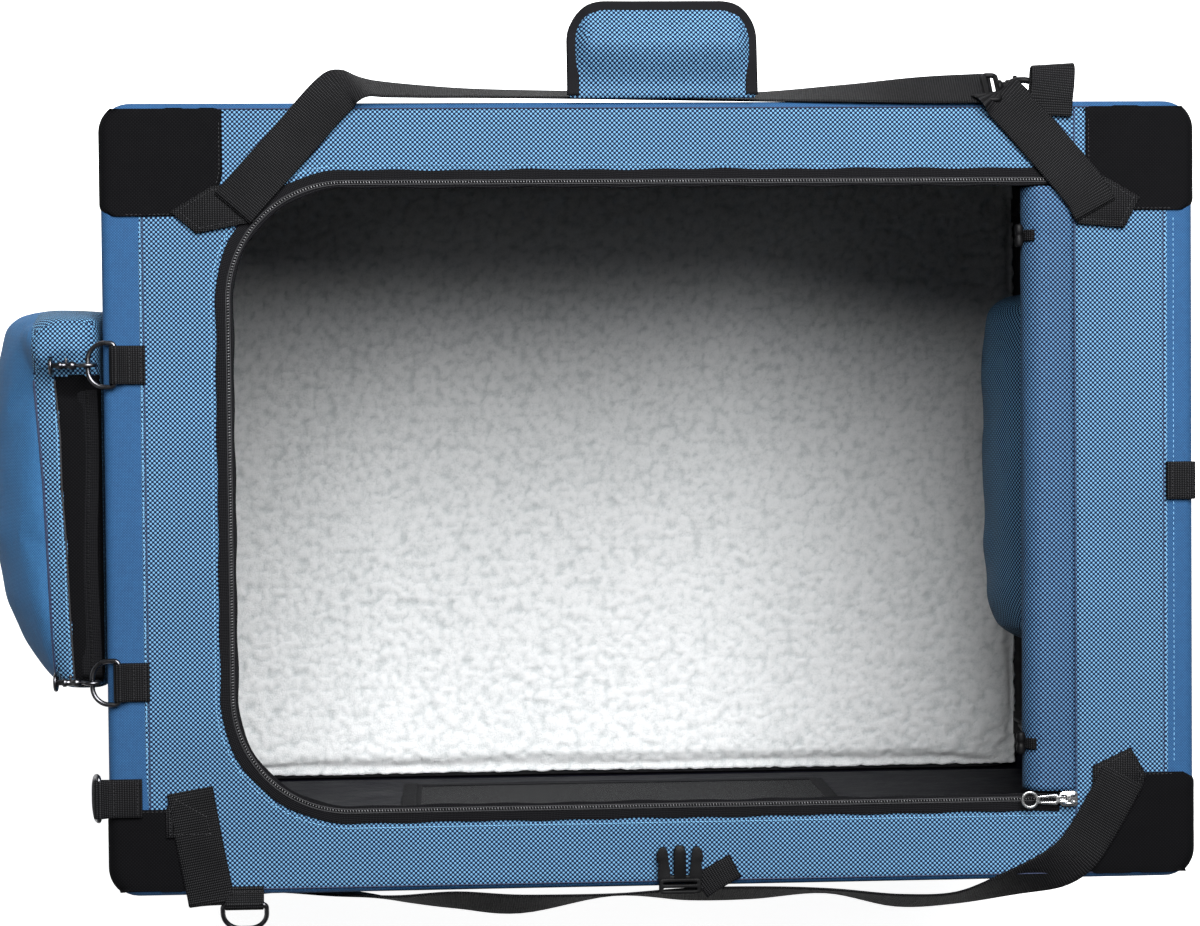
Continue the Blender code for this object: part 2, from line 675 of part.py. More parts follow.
def make_roll(parent):
    """The top door rolled up against its hinge seam, with a tie round each end."""
    radius = ROLL_DIAMETER / 2
    x = OPENING_RIGHT - radius - FABRIC
    z = HEIGHT - ROLL_SINK + radius
    back = OPENING_BACK - ROLL_END_GAP
    front = OPENING_FRONT - ROLL_END_GAP
    roll = add("rolled_door", cylinder((x, -front, z), (x, back, z), radius, 20), BLUE, parent=parent)
    flap_z = COVER_TOP + GAP
    combine(roll, box((x, TIE_WIDTH - front, flap_z), (x + radius + ROLL_FLAP, back - TIE_WIDTH,
                                                     flap_z + FABRIC / 2)), "UNION")
    for name, y in (("roll_tie_back", back - TIE_FROM_END), ("roll_tie_front", TIE_FROM_END - front)):
        inner = radius + GAP + TIE_THICK / 2
        ring = []
        for step in range(16):
            angle = math.radians(TIE_FROM_DEGREES - TIE_SWEEP_DEGREES * step / 15)
            ring.append((x + inner * math.cos(angle), y, z + inner * math.sin(angle)))
        sides = [Vector((0, 1, 0))] * len(ring)
        tie = add(name, ribbon(ring, sides, TIE_WIDTH, TIE_THICK, 1), DARK, parent=parent)
        tip = Vector(ring[len(ring) // 2])
        out = (tip - Vector((x, y, z))).normalized()
        peg = tip + out * (TOGGLE_RADIUS + TIE_THICK / 4)
        combine(tie, cylinder(peg - Vector((0, TOGGLE_LENGTH / 2, 0)), peg + Vector((0, TOGGLE_LENGTH / 2, 0)),
                              TOGGLE_RADIUS, 10), "UNION")


def make_patch(name, sign, side, parent):
    """A dense corner patch that caps the top corner and wraps both bands."""
    x0, x1 = sorted((sign * (END_SKIN - PATCH_LONG), sign * END_SKIN))
    y0, y1 = sorted((side * (SIDE_SKIN - PATCH_SHORT), side * SIDE_SKIN))
    outer_at = {(-1, -1): 0, (1, -1): 1, (1, 1): 2, (-1, 1): 3}[(sign, side)]
    radii = [0, 0, 0, 0]
    radii[outer_at] = PLAN_RADIUS + PATCH
    radii[(outer_at + 2) % 4] = PATCH_RADIUS
    patch = add(name, prism(rounded_outline(x0, x1, y0, y1, radii), TOP_PIVOT_Z, HEIGHT), DARK, parent=parent)
    inner_x = sorted((sign * (END_SKIN - 2 * PATCH_LONG), sign * (COVER_END + GAP)))
    inner_y = sorted((side * (SIDE_SKIN - 2 * PATCH_LONG), side * (COVER_SIDE + GAP)))
    hole_radii = [0, 0, 0, 0]
    hole_radii[outer_at] = PLAN_RADIUS + GAP
    combine(patch, prism(rounded_outline(*inner_x, *inner_y, hole_radii), TOP_PIVOT_Z - PATCH, COVER_TOP + GAP),
            "DIFFERENCE")


def strap(shares, width=STRAP_WIDTH):
    """Webbing on the crate's edge: each row has the near edge's place, in shares, and the way to its far edge."""
    level = HEIGHT + GAP + STRAP_THICK / 2
    centres = []
    sides = []
    for x_share, y_share, out_share, drop_share, side in shares:
        side = Vector(side).normalized()
        edge = Vector((x_share * END_SKIN, y_share * SIDE_SKIN + out_share * STRAP_WIDTH,
                       level - drop_share * STRAP_WIDTH))
        centres.append(edge + side * width / 2)
        sides.append(side)
    return ribbon(centres, sides, width, STRAP_THICK)


# Rows: x in half lengths, y in half depths plus strap widths, drop below the top in strap widths, way across
BACK_STRAP_SHARES = (
    (-0.795, 0.675, 0, 0, (-0.74, 0.67, 0)),
    (-0.745, 0.745, 0, 0, (-0.74, 0.67, 0)),
    (-0.640, 0.870, 0, 0, (-0.74, 0.67, 0)),
    (-0.560, 0.965, 0, 0, (-0.74, 0.67, 0)),
    (-0.515, 1, 0.10, -0.03, (-0.65, 0.42, -0.5)),
    (-0.460, 1, 0.12, 0, (-0.3, 0.40, -0.85)),
    (-0.390, 1, 0.13, 0.02, (0, 0.32, -0.95)),
    (-0.300, 1, 0.14, 0.06, (0, 0.26, -0.96)),
    (-0.150, 1, 0.14, 0.08, (0, 0.26, -0.96)),
    (0.150, 1, 0.14, 0.08, (0, 0.26, -0.96)),
    (0.350, 1, 0.14, 0.10, (0, 0.26, -0.96)),
    (0.500, 1, 0.15, 0.06, (0, 0.30, -0.95)),
    (0.6085, 1, 0.16, 0.04, (0, 0.32, -0.94)),
)
BACK_END_SHARES = (
    (0.803, 0.705, 0, 0, (0.80, 0.60, 0)),
    (0.772, 0.763, 0, 0, (0.80, 0.60, 0)),
    (0.709, 0.880, 0, 0, (0.80, 0.60, 0)),
    (0.666, 0.959, 0, -0.01, (0.80, 0.60, 0)),
    (0.638, 1, 0.07, -0.02, (0.95, 0.14, -0.28)),
    (0.632, 1, 0.09, 0.35, (0.98, 0.02, -0.2)),
    (0.634, 1, 0.10, 0.72, (1, 0, -0.05)),
)
BACK_LOOP_SHARES = (
    (0.694, 1, 0.085, 0.12, (0, 0, -1)),
    (0.745, 1, 0.09, 0.10, (0, 0, -1)),
    (0.776, 1, 0.15, 0.09, (0, 0, -1)),
    (0.784, 1, 0.28, 0.08, (0, 0, -1)),
    (0.774, 1, 0.41, 0.08, (0, 0, -1)),
    (0.745, 1, 0.45, 0.07, (0, 0, -1)),
    (0.7198, 1, 0.43, 0.07, (0, 0, -1)),
)
FRONT_STRAP_SHARES = (
    (-0.805, -0.715, 0, 0, (-1, 0, 0)),
    (-0.805, -0.860, 0, 0, (-1, 0, 0)),
    (-0.805, -0.975, 0, -0.01, (-1, 0, 0)),
    (-0.805, -1, -0.07, -0.01, (-1, 0, 0)),
    (-0.804, -1, -0.13, 0.20, (-1, 0, 0)),
    (-0.798, -1, -0.14, 0.75, (-0.95, 0, -0.3)),
    (-0.760, -1, -0.15, 1.25, (-0.6, 0, -0.8)),
    (-0.690, -1, -0.15, 1.40, (0, -0.05, -1)),
    (-0.580, -1, -0.14, 0.75, (0.15, -0.1, -1)),
    (-0.480, -1, -0.13, 0.20, (0.1, -0.28, -0.95)),
    (-0.350, -1, -0.13, 0.08, (0, -0.34, -0.94)),
    (-0.150, -1, -0.12, 0.04, (0, -0.24, -0.97)),
    (0.080, -1, -0.12, 0.06, (0, -0.12, -0.99)),
    (0.250, -1, -0.13, 0.10, (0, -0.40, -0.91)),
    (0.450, -1, -0.13, 0.14, (0, -0.42, -0.90)),
    (0.600, -1, -0.14, 0.20, (0, -0.24, -0.97)),
    (0.720, -1, -0.14, 0.45, (-0.1, -0.1, -1)),
    (0.790, -1, -0.14, 0.50, (0.6, 0, -0.8)),
    (0.815, -1, -0.13, 0.20, (0.99, 0, -0.12)),
    (0.815, -1, -0.07, -0.01, (1, 0, 0)),
    (0.813, -0.975, 0, -0.01, (1, 0.03, 0)),
    (0.808, -0.850, 0, 0, (1, 0.05, 0)),
    (0.806, -0.655, 0, 0, (1, 0.07, 0)),
)


def make_straps(parent):
    """Carrying webbing along the front and back edges, with the clip, the wrap and the buckle half."""
    add("back_strap", strap(BACK_STRAP_SHARES), DARK, parent=parent)
    back_end = add("back_strap_loop", strap(BACK_END_SHARES), DARK, parent=parent)
    combine(back_end, strap(BACK_LOOP_SHARES, LOOP_WIDTH), "UNION")
    add("front_strap", strap(FRONT_STRAP_SHARES), DARK, parent=parent)

    y = SIDE_SKIN + STRAP_WIDTH * CLIP_OUT_SHARE
    z = HEIGHT - STRAP_WIDTH / 2
    left = CLIP_X - CLIP_LENGTH / 2
    clip = add("trigger_clip", box((left, y - CLIP_THICK / 2, z - STRAP_WIDTH / 2),
                                   (left + CLIP_BAR, y + CLIP_THICK / 2, z + STRAP_WIDTH / 2)), PLASTIC,
               parent=parent)
    combine(clip, cylinder((left + CLIP_BAR / 2, y, z), (CLIP_X + CLIP_THICK / 2, y, z), CLIP_THICK * 0.62),
            "UNION")
    hook_radius = CLIP_WIDTH / 2 - CLIP_THICK / 4
    hook = []
    for step in range(11):
        angle = math.radians(175 - 300 * step / 10)
        hook.append((CLIP_X + CLIP_THICK / 2 + hook_radius + hook_radius * math.cos(angle), y,
                     z + hook_radius * math.sin(angle)))
    combine(clip, tube(hook, CLIP_THICK * 0.32), "UNION")
    make_wrap(parent)
    make_buckle(parent)


def make_wrap(parent):
    """The padded wrap opened out over the back strap, hinged along the strap's upper edge."""
    hinge = (WRAP_CENTRE, SIDE_SKIN + WRAP_HINGE_OUT, HEIGHT - WRAP_SEAT)
    turn = pivot("handle_wrap_pivot", hinge, parent)
    half = WRAP_LENGTH / 2
    outline = rounded_outline(-half, half, 0, WRAP_REACH, (WRAP_THICK, WRAP_THICK, WRAP_RADIUS, WRAP_RADIUS), 5)
    slope = math.atan2(WRAP_DROOP, WRAP_REACH)
    place = Matrix.Translation(hinge) @ Matrix.Rotation(-slope, 4, "X")
    wrap = add("handle_wrap", prism(outline, 0, WRAP_THICK, place), BLUE, hinge, turn)
    soften(wrap, WRAP_THICK / 4)


def make_buckle(parent):
    """The pronged half of a side-release buckle, flat on the top beside the front edge."""
    low = COVER_TOP + GAP
    hinge = (BUCKLE_X, -SIDE_SKIN, low + BUCKLE_THICK / 2)
    turn = pivot("male_buckle_pivot", hinge, parent)
    base = BUCKLE_LENGTH * BUCKLE_BASE_SHARE
    half = BUCKLE_WIDTH / 2
    start = STRAP_THICK / 2 + 2 * GAP - SIDE_SKIN - STRAP_WIDTH * BUCKLE_OUT_SHARE
    solid = prism(rounded_outline(BUCKLE_X - half, BUCKLE_X + half, start, start + base, half / 5, 2), low,
                  low + BUCKLE_THICK)
    buckle = add("male_buckle", solid, PLASTIC, hinge, turn)
    prong = BUCKLE_WIDTH / 9
    for place, reach in ((-half + prong, 0.96), (0, 1), (half - prong, 0.96)):
        x = BUCKLE_X + place
        tip = start + BUCKLE_LENGTH * reach
        outline = ((x - prong, start + base / 2), (x + prong, start + base / 2), (x + prong, tip - 2 * prong),
                   (x + prong / 2, tip), (x - prong / 2, tip), (x - prong, tip - 2 * prong))
        combine(buckle, prism(outline, low + BUCKLE_THICK / 4, low + BUCKLE_THICK * 0.8), "UNION")


def ring_tab(name, place, out, level, reach, parent):
    """Folded webbing sewn on the top, with a barrel round the ring's bar; out points off the edge."""
    out = Vector(out)
    along = Vector((0, 0, 1)).cross(out)
    barrel = RING_WIRE + RING_PLAY + TAB_THICK
    centre = Vector((place[0], place[1], level + barrel))
    back = centre - out * reach
    turn = Matrix((out, along, (0, 0, 1))).transposed().to_4x4()
    turn.translation = (back.x, back.y, level)
    half = TAB_WIDTH / 2
    plate = prism(((0, -half), (reach, -half), (reach, half), (0, half)), 0, 2 * TAB_THICK, turn)
    tab = add(name, plate, DARK, parent=parent)
    combine(tab, cylinder(centre - along * half, centre + along * half, barrel, 16), "UNION")
    combine(tab, cylinder(centre - along * TAB_WIDTH, centre + along * TAB_WIDTH, RING_WIRE + RING_PLAY, 12),
            "DIFFERENCE")
    return centre


def ring_solid(centre, out, tilt):
    """A wire D ring whose straight bar lies on its hinge at centre; tilt turns it down from level."""
    out = Vector(out)
    along = Vector((0, 0, 1)).cross(out)
    half = RING_WIDTH / 2 - RING_WIRE
    bend = RING_REACH * RING_BEND_SHARE
    outline = rounded_outline(0, RING_REACH, -half, half, (0, bend, bend, 0), 5)
    lean = Matrix((out, along, (0, 0, 1))).transposed().to_4x4() @ Matrix.Rotation(tilt, 4, "Y")
    lean.translation = centre
    return tube([lean @ Vector((x, y, 0)) for x, y in outline], RING_WIRE, 8, closed=True)


def make_tabs(parent):
    """The tabs and rings on the left end and the front edge, and the short tab on the right end."""
    left = Vector((-1, 0, 0))
    front = Vector((0, -1, 0))
    bag_turn = pivot("bag_pivot", (-(END_SKIN - TAB_SET_IN), 0, HEIGHT), parent)
    for name, y in (("back", BAG_TAB_BACK), ("front", BAG_TAB_FRONT)):
        centre = ring_tab("bag_tab_" + name, (-(END_SKIN - TAB_SET_IN), y), left, COVER_TOP + GAP,
                          TAB_ON_TOP - TAB_SET_IN, parent)
        tilt = math.radians(BAG_RING_TILT)
        add("bag_ring_" + name, ring_solid(centre, left, tilt), GUNMETAL, parent=bag_turn)
        far = centre + RING_REACH * Vector((-math.cos(tilt), 0, -math.sin(tilt)))
        make_hook("bag_hook_" + name, far, bag_turn)
    over = barrel_over(END_SKIN)
    centre = ring_tab("spare_tab", (-over, SPARE_TAB_Y), left, HEIGHT + GAP, over - END_SKIN + TAB_ON_TOP, parent)
    turn = pivot("spare_ring_pivot", centre, parent)
    add("spare_ring", ring_solid(centre, left, math.radians(SPARE_RING_TILT)), GUNMETAL, centre, turn)
    over = barrel_over(SIDE_SKIN)
    centre = ring_tab("front_ring_tab", (-(END_SKIN - FRONT_RING_FROM_END), -over), front, COVER_TOP + GAP,
                      over - SIDE_SKIN + TAB_ON_TOP, parent)
    turn = pivot("front_ring_pivot", centre, parent)
    add("front_ring", ring_solid(centre, front, math.radians(FRONT_RING_TILT)), GUNMETAL, centre, turn)
    half = TAB_WIDTH / 2
    end = END_SKIN - TAB_THICK
    add("right_tab", box((end - RIGHT_TAB_REACH, RIGHT_TAB_Y - half, COVER_TOP + GAP),
                         (end, RIGHT_TAB_Y + half, COVER_TOP + GAP + 2 * TAB_THICK)), DARK, parent=parent)


def barrel_over(skin):
    """Where a tab's barrel stands clear outside an edge."""
    return skin + RING_WIRE + RING_PLAY + TAB_THICK + GAP


def make_hook(name, ring, parent):
    """A small trigger hook from the ring to the storage bag's top edge."""
    radius = RING_WIRE + HOOK_WIRE + 2 * GAP
    path = []
    for step in range(10):
        angle = math.radians(-60 + 250 * step / 9)
        path.append((ring.x + radius * math.cos(angle), ring.y, ring.z + radius * math.sin(angle)))
    path.append((ring.x - radius - HOOK_WIRE, ring.y, path[-1][2] - HOOK_WIRE))
    hook = add(name, tube(path, HOOK_WIRE, 8), GUNMETAL, parent=parent)
    level = path[-1][2]
    start = path[-1][0]
    far = ring.x - HOOK_LENGTH
    combine(hook, cylinder((start + HOOK_WIRE, ring.y, level), (far, ring.y, level), HOOK_WIRE * 1.4, 10), "UNION")
    low = HEIGHT - BAG_DROP + GAP
    combine(hook, box((far - HOOK_WIRE, ring.y - 3 * HOOK_WIRE, low),
                      (far + HOOK_WIRE, ring.y + 3 * HOOK_WIRE, level + HOOK_WIRE)), "UNION")


def bag_solid(inner_x, way, centre_y, top_z):
    """A soft zip bag: flat towards the wall, rounded along its other edges, fullest below its middle."""
    rings = []
    for share, tuck_share in BAG_TUCK_SHARES:
        tuck = BAG_EDGE * tuck_share
        depth = BAG_DEPTH + BAG_BELLY * math.sin(math.pi * share) - tuck
        x0, x1 = sorted((inner_x, inner_x + way * depth))
        half = BAG_WIDTH / 2 - tuck
        outline = rounded_outline(x0, x1, centre_y - half, centre_y + half, BAG_EDGE, 4)
        rings.append([(x, y, top_z - BAG_HEIGHT + share * BAG_HEIGHT) for x, y in outline])
    return lofted(rings)


def main():
    clear_scene()
    root = pivot("crate", (0, 0, 0))
    make_base(root)
    make_walls(root)
    for name, sign in (("left", -1), ("right", 1)):
        low_turn = pivot(name + "_base_pivot", (sign * LEG_X, 0, BASE_PIVOT_Z), root)
        knee_turn = pivot(name + "_knee_pivot", (sign * KNEE_X, 0, KNEE_Z), low_turn)
        knee_rivet(f"knee_rivet_{name}_front", sign, -1, low_turn)
        knee_rivet(f"knee_rivet_{name}_back", sign, 1, low_turn)
        half_frame(name + "_lower_frame", sign, False, low_turn)
        half_frame(name + "_upper_frame", sign, True, knee_turn)
        half_wall(name + "_wall_lower", sign, False, low_turn)
        half_wall(name + "_wall_upper", sign, True, knee_turn)
    top = pivot("top_pivot", (-LEG_X, 0, TOP_PIVOT_Z), root)
    for name, sign in (("left", -1), ("right", 1)):
        for place, side in (("front", -1), ("back", 1)):
            pivot_bracket(f"base_bracket_{name}_{place}", sign, side, False, root)
            pivot_bracket(f"top_bracket_{name}_{place}", sign, side, True, top)
            make_patch(f"corner_patch_{name}_{place}", sign, side, top)
    make_top(top)
    make_zip(top)
    make_roll(top)
    make_straps(top)
    make_tabs(top)
    bag_turn = bpy.data.objects["bag_pivot"]
    add("storage_bag", bag_solid(-(END_SKIN + FABRIC), -1, BAG_CENTRE, HEIGHT - BAG_DROP), BLUE, parent=bag_turn)
    pouch_x = LEG_X - LEG_TUBE - GAP
    add("inner_pouch", bag_solid(pouch_x, -1, POUCH_CENTRE, POUCH_TOP), BLUE, parent=knee_turn)


main()
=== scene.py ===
import bmesh
import bpy
import math
import numpy as np
from mathutils import Matrix, Vector
from mathutils.bvhtree import BVHTree


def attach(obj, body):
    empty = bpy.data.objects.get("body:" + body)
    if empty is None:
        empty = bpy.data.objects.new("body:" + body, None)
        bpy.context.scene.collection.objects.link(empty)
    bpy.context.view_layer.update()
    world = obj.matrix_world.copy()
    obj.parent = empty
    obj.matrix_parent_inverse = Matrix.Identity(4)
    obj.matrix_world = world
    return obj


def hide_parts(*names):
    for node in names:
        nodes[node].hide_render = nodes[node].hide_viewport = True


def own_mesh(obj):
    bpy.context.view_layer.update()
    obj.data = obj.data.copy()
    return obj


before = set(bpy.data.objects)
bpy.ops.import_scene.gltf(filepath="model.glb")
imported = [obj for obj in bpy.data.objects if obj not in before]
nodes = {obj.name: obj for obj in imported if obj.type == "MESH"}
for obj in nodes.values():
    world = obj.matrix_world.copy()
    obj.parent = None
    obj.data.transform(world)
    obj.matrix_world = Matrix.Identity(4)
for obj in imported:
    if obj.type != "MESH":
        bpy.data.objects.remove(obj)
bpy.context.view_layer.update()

mm = 0.001

# Camera, floor and light

view = {"place": (-0.14455, 0.07826, 2.34685), "turn": (-0.02967, -0.05866, -0.00892), "lens": 78.7}
light = {"key": 146, "keyPlace": (0.24, 1.2, 2.6), "keySize": 1.75, "fill": 0.075, "side": 2, "floorLift": 0.9}


def setCamera():
    data = bpy.data.cameras.new("photoView")
    data.lens = view["lens"]
    data.sensor_width = 36
    data.clip_end = 50
    camera = bpy.data.objects.new("photoView", data)
    camera.location = view["place"]
    camera.rotation_euler = view["turn"]
    bpy.context.scene.collection.objects.link(camera)
    bpy.context.scene.camera = camera


def areaLight(name, power, place, target, size):
    data = bpy.data.lights.new(name, "AREA")
    data.energy = power
    data.size = size
    lamp = bpy.data.objects.new(name, data)
    lamp.location = place
    lamp.rotation_euler = (Vector(target) - Vector(place)).to_track_quat("-Z", "Y").to_euler()
    bpy.context.scene.collection.objects.link(lamp)


# Shader maths: an expression on sockets adds its Math nodes

class Wire:
    def __init__(self, cloth, socket):
        self.cloth = cloth
        self.socket = socket

    def math(self, operation, *others):
        return self.cloth.node("ShaderNodeMath", {"operation": operation}, dict(enumerate((self,) + others)))

    def __add__(self, other):
        return self.math("ADD", other)

    __radd__ = __add__

    def __sub__(self, other):
        return self.math("SUBTRACT", other)

    def __rsub__(self, other):
        return self.cloth.node("ShaderNodeMath", {"operation": "SUBTRACT"}, {0: other, 1: self})

    def __mul__(self, other):
        return self.math("MULTIPLY", other)

    def sine(self):
        return self.math("SINE")

    def size(self):
        return self.math("ABSOLUTE")

    def ramp(self, low, high):
        return self.cloth.node("ShaderNodeMapRange", {"interpolation_type": "SMOOTHSTEP"},
                               {"Value": self, "From Min": low, "From Max": high})


class Finish:
    def __init__(self, name, roughness, metallic=0, sheen=0, specular=0.5):
        self.material = bpy.data.materials.new(name)
        self.material.use_nodes = True
        self.tree = self.material.node_tree
        self.shader = self.tree.nodes["Principled BSDF"]
        for key, value in (("Roughness", roughness), ("Metallic", metallic), ("Sheen Weight", sheen),
                           ("Specular IOR Level", specular)):
            self.shader.inputs[key].default_value = value

    def node(self, kind, settings=None, inputs=None, out=0):
        made = self.tree.nodes.new(kind)
        for key, value in (settings or {}).items():
            setattr(made, key, value)
        for key, value in (inputs or {}).items():
            if isinstance(value, Wire):
                self.tree.links.new(value.socket, made.inputs[key])
            else:
                made.inputs[key].default_value = value
        return Wire(self, made.outputs[out])

    def mix(self, share, low, high):
        wires = {0: share, 6: (*low, 1) if isinstance(low, tuple) else low,
                 7: (*high, 1) if isinstance(high, tuple) else high}
        return self.node("ShaderNodeMix", {"data_type": "RGBA"}, wires, out=2)

    def noise(self, where, scale, detail=2, rough=0.5):
        return self.node("ShaderNodeTexNoise", {}, {"Vector": where, "Scale": scale, "Detail": detail,
                                                    "Roughness": rough})

    def feed(self, name, wire):
        self.tree.links.new(wire.socket, self.shader.inputs[name])

    def relief(self, height, distance, strength=1):
        self.feed("Normal", self.node("ShaderNodeBump", {}, {"Height": height, "Distance": distance,
                                                             "Strength": strength}))

    def clothPlace(self):
        uv = self.node("ShaderNodeUVMap", {"uv_map": "cloth"})
        u = self.node("ShaderNodeSeparateXYZ", {}, {0: uv})
        return u, Wire(self, u.socket.node.outputs[1])

    def objectPlace(self):
        return self.node("ShaderNodeTexCoord", out=3)


def wovenFinish(name, pale, dark, pitch, contrast=1.0, relief=0.12 * mm, specular=0.25, slub=0.14):
    # Plain weave in two yarn colours: warp and weft squares in a checker, each yarn rounded
    made = Finish(name, 0.78, specular=specular)
    u, v = made.clothPlace()
    warp = (u * (math.pi / pitch)).sine()
    weft = (v * (math.pi / pitch)).sine()
    checker = (warp * weft * 2.2).ramp(-0.05, 0.6)
    place = made.objectPlace()
    broad = made.noise(place, 9, 3)
    fine = made.noise(place, 260, 2)
    share = checker * contrast + (1 - contrast) * 0.5
    share = share + (fine - 0.5) * 0.35
    color = made.mix(share.ramp(0, 1), dark, pale)
    shade = broad * slub * 2 + (1 - slub)
    color = made.node("ShaderNodeVectorMath", {"operation": "SCALE"}, {0: color, "Scale": shade})
    made.feed("Base Color", color)
    made.feed("Roughness", fine * 0.2 + 0.68)
    height = (warp * weft).size() + broad * 3 + fine * 0.3
    made.relief(height, relief)
    return made.material


def webbingFinish(name, base, dots, pitch=1.7 * mm):
    # Ribs across the webbing's length with a row of paler yarn dots on each
    made = Finish(name, 0.62, specular=0.12)
    u, v = made.clothPlace()
    rib = (u * (2 * math.pi / pitch)).sine()
    yarn = (v * (2 * math.pi / (1.25 * mm)) + (u * (math.pi / pitch)).sine() * 0.6).sine()
    place = made.objectPlace()
    fine = made.noise(place, 420, 2)
    broad = made.noise(place, 30, 3)
    dot = (rib * 0.5 + 0.5) * (yarn * 0.5 + 0.5)
    share = (dot * (0.55 + broad * 0.7)).ramp(0.22, 0.95)
    made.feed("Base Color", made.mix(share, base, dots))
    made.feed("Roughness", fine * 0.25 + 0.5)
    made.relief(rib * 0.7 + yarn * 0.5 + broad * 1.5, 0.16 * mm)
    return made.material


def metalFinish(name, color, roughness, wear, metallic=1):
    made = Finish(name, roughness, metallic)
    place = made.objectPlace()
    cloud = made.noise(place, 120, 4, 0.6)
    grain = made.noise(place, 2600, 2)
    made.feed("Base Color", made.mix(cloud.ramp(0.35, 0.75), color, wear))
    made.feed("Roughness", cloud * 0.22 + (roughness - 0.08))
    made.relief(grain + cloud * 2, 0.02 * mm)
    return made.material


def mouldedFinish(name, color, roughness):
    made = Finish(name, roughness, specular=0.15)
    place = made.objectPlace()
    grain = made.noise(place, 1400, 3)
    cloud = made.noise(place, 60, 3)
    paler = tuple(c * 1.9 + 0.004 for c in color)
    made.feed("Base Color", made.mix(cloud.ramp(0.45, 0.9), color, paler))
    made.feed("Roughness", grain * 0.2 + (roughness - 0.08))
    made.relief(grain, 0.03 * mm)
    return made.material


def fleeceFinish(name):
    # The curl attribute is 1 on a tuft's crown and 0 in the creases between tufts; the creases take a darker colour,
    # painted shade
    made = Finish(name, 0.95, sheen=0.35, specular=0.15)
    curl = made.node("ShaderNodeAttribute", {"attribute_name": "curl"}, out=2)
    place = made.objectPlace()
    broad = made.noise(place, 6, 3)
    wool = made.noise(place, 700, 4, 0.65)
    tuft = (curl * 0.9 + (wool - 0.5) * 0.8).ramp(0.02, 0.80)
    # Colour between tufts: darker than the crown, painted shade
    creaseShading = made.mix(broad, (0.56, 0.60, 0.61), (0.66, 0.69, 0.70))
    crown = made.mix(broad, (0.88, 0.90, 0.91), (0.95, 0.96, 0.97))
    made.feed("Base Color", made.mix(tuft, creaseShading, crown))
    made.relief(wool, 0.9 * mm, 0.8)
    return made.material


def meshFinish(name, color):
    # Window mesh: round holes in offset rows, thinned by alpha
    made = Finish(name, 0.7, specular=0.1)
    u, v = made.clothPlace()
    turns = math.tau / (1.6 * mm)
    across, along = (u * turns).sine(), (v * turns).sine()
    hole = (across * along).size().ramp(0.45, 0.60)
    place = made.objectPlace()
    fine = made.noise(place, 500, 2)
    made.feed("Base Color", made.mix(fine, color, tuple(c * 1.8 for c in color)))
    made.feed("Alpha", 1 - hole * 0.3)
    made.feed("Roughness", fine * 0.2 + 0.5)
    made.relief(across.size() + along.size(), 0.1 * mm)
    return made.material


def liningFinish(name, color):
    # Coated lining: soft shine and shallow creases; the colour is paler where the creases are raised, a painted sheen
    made = Finish(name, 0.6, specular=0.08)
    place = made.objectPlace()
    creaseShading = made.noise(place, 22, 5, 0.6)
    fine = made.noise(place, 700, 2)
    # Paler colour on the raised creases: painted sheen
    made.feed("Base Color", made.mix(creaseShading.ramp(0.3, 0.8), color, tuple(c * 1.6 + 0.001 for c in color)))
    made.feed("Roughness", creaseShading * 0.3 + 0.45)
    made.relief(creaseShading * 6 + fine * 0.4, 0.5 * mm)
    return made.material


def twineFinish(name, color):
    # Sewing thread: fine twist
    made = Finish(name, 0.6, sheen=0.1)
    place = made.objectPlace()
    fine = made.noise(place, 1500, 2)
    made.feed("Base Color", made.mix(fine, tuple(c * 0.7 for c in color), tuple(c * 1.25 for c in color)))
    made.relief(fine, 0.05 * mm)
    return made.material


blueCloth = wovenFinish("blueOxford", (0.134, 0.318, 0.520), (0.0004, 0.004, 0.026), 1.6 * mm)
# The rolled door's cloth: the blue oxford made darker, painted shade for the roll's curved side
rollShadedBlue = wovenFinish("rolledOxfordShaded", (0.085, 0.205, 0.365), (0.0005, 0.004, 0.026), 1.6 * mm)
plainBlue = wovenFinish("plainBlueBand", (0.030, 0.115, 0.26), (0.010, 0.045, 0.125), 0.95 * mm, contrast=0.45,
                        slub=0.08)
bagBlue = wovenFinish("bagFrontOxford", (0.052, 0.190, 0.395), (0.018, 0.078, 0.195), 0.95 * mm, contrast=0.45,
                      slub=0.12)
blackCloth = wovenFinish("blackOxford", (0.006, 0.006, 0.007), (0.0012, 0.0012, 0.0016), 1.2 * mm,
                         relief=0.1 * mm, specular=0.06)
binding = wovenFinish("blackBinding", (0.010, 0.010, 0.012), (0.004, 0.004, 0.005), 0.6 * mm, contrast=0.5,
                      relief=0.06 * mm, specular=0.1)
webbing = webbingFinish("blackWebbing", (0.0015, 0.0015, 0.002), (0.035, 0.035, 0.038))
zipTape = webbingFinish("zipTape", (0.003, 0.003, 0.004), (0.010, 0.010, 0.012), 1.1 * mm)
blackLining = liningFinish("blackLining", (0.003, 0.003, 0.006))
fleece = fleeceFinish("sherpaFleece")
windowMesh = meshFinish("windowMesh", (0.004, 0.004, 0.005))
blackSteel = metalFinish("blackSteelTube", (0.02, 0.02, 0.022), 0.45, (0.035, 0.035, 0.038), metallic=0.2)
gunmetal = metalFinish("gunmetalWire", (0.10, 0.10, 0.11), 0.26, (0.17, 0.17, 0.18))
silver = metalFinish("silverZinc", (0.62, 0.63, 0.64), 0.24, (0.78, 0.79, 0.80))
toothMetal = metalFinish("zipTeeth", (0.16, 0.16, 0.165), 0.40, (0.30, 0.30, 0.31))
blackPlastic = mouldedFinish("blackPlastic", (0.003, 0.003, 0.0035), 0.5)
blueThread = twineFinish("blueThread", (0.22, 0.50, 0.78))
blackThread = twineFinish("blackThread", (0.010, 0.010, 0.013))
navySeam = twineFinish("navySeam", (0.006, 0.016, 0.06))
print("finishes made")

# The crate's main sizes, as the solids have them

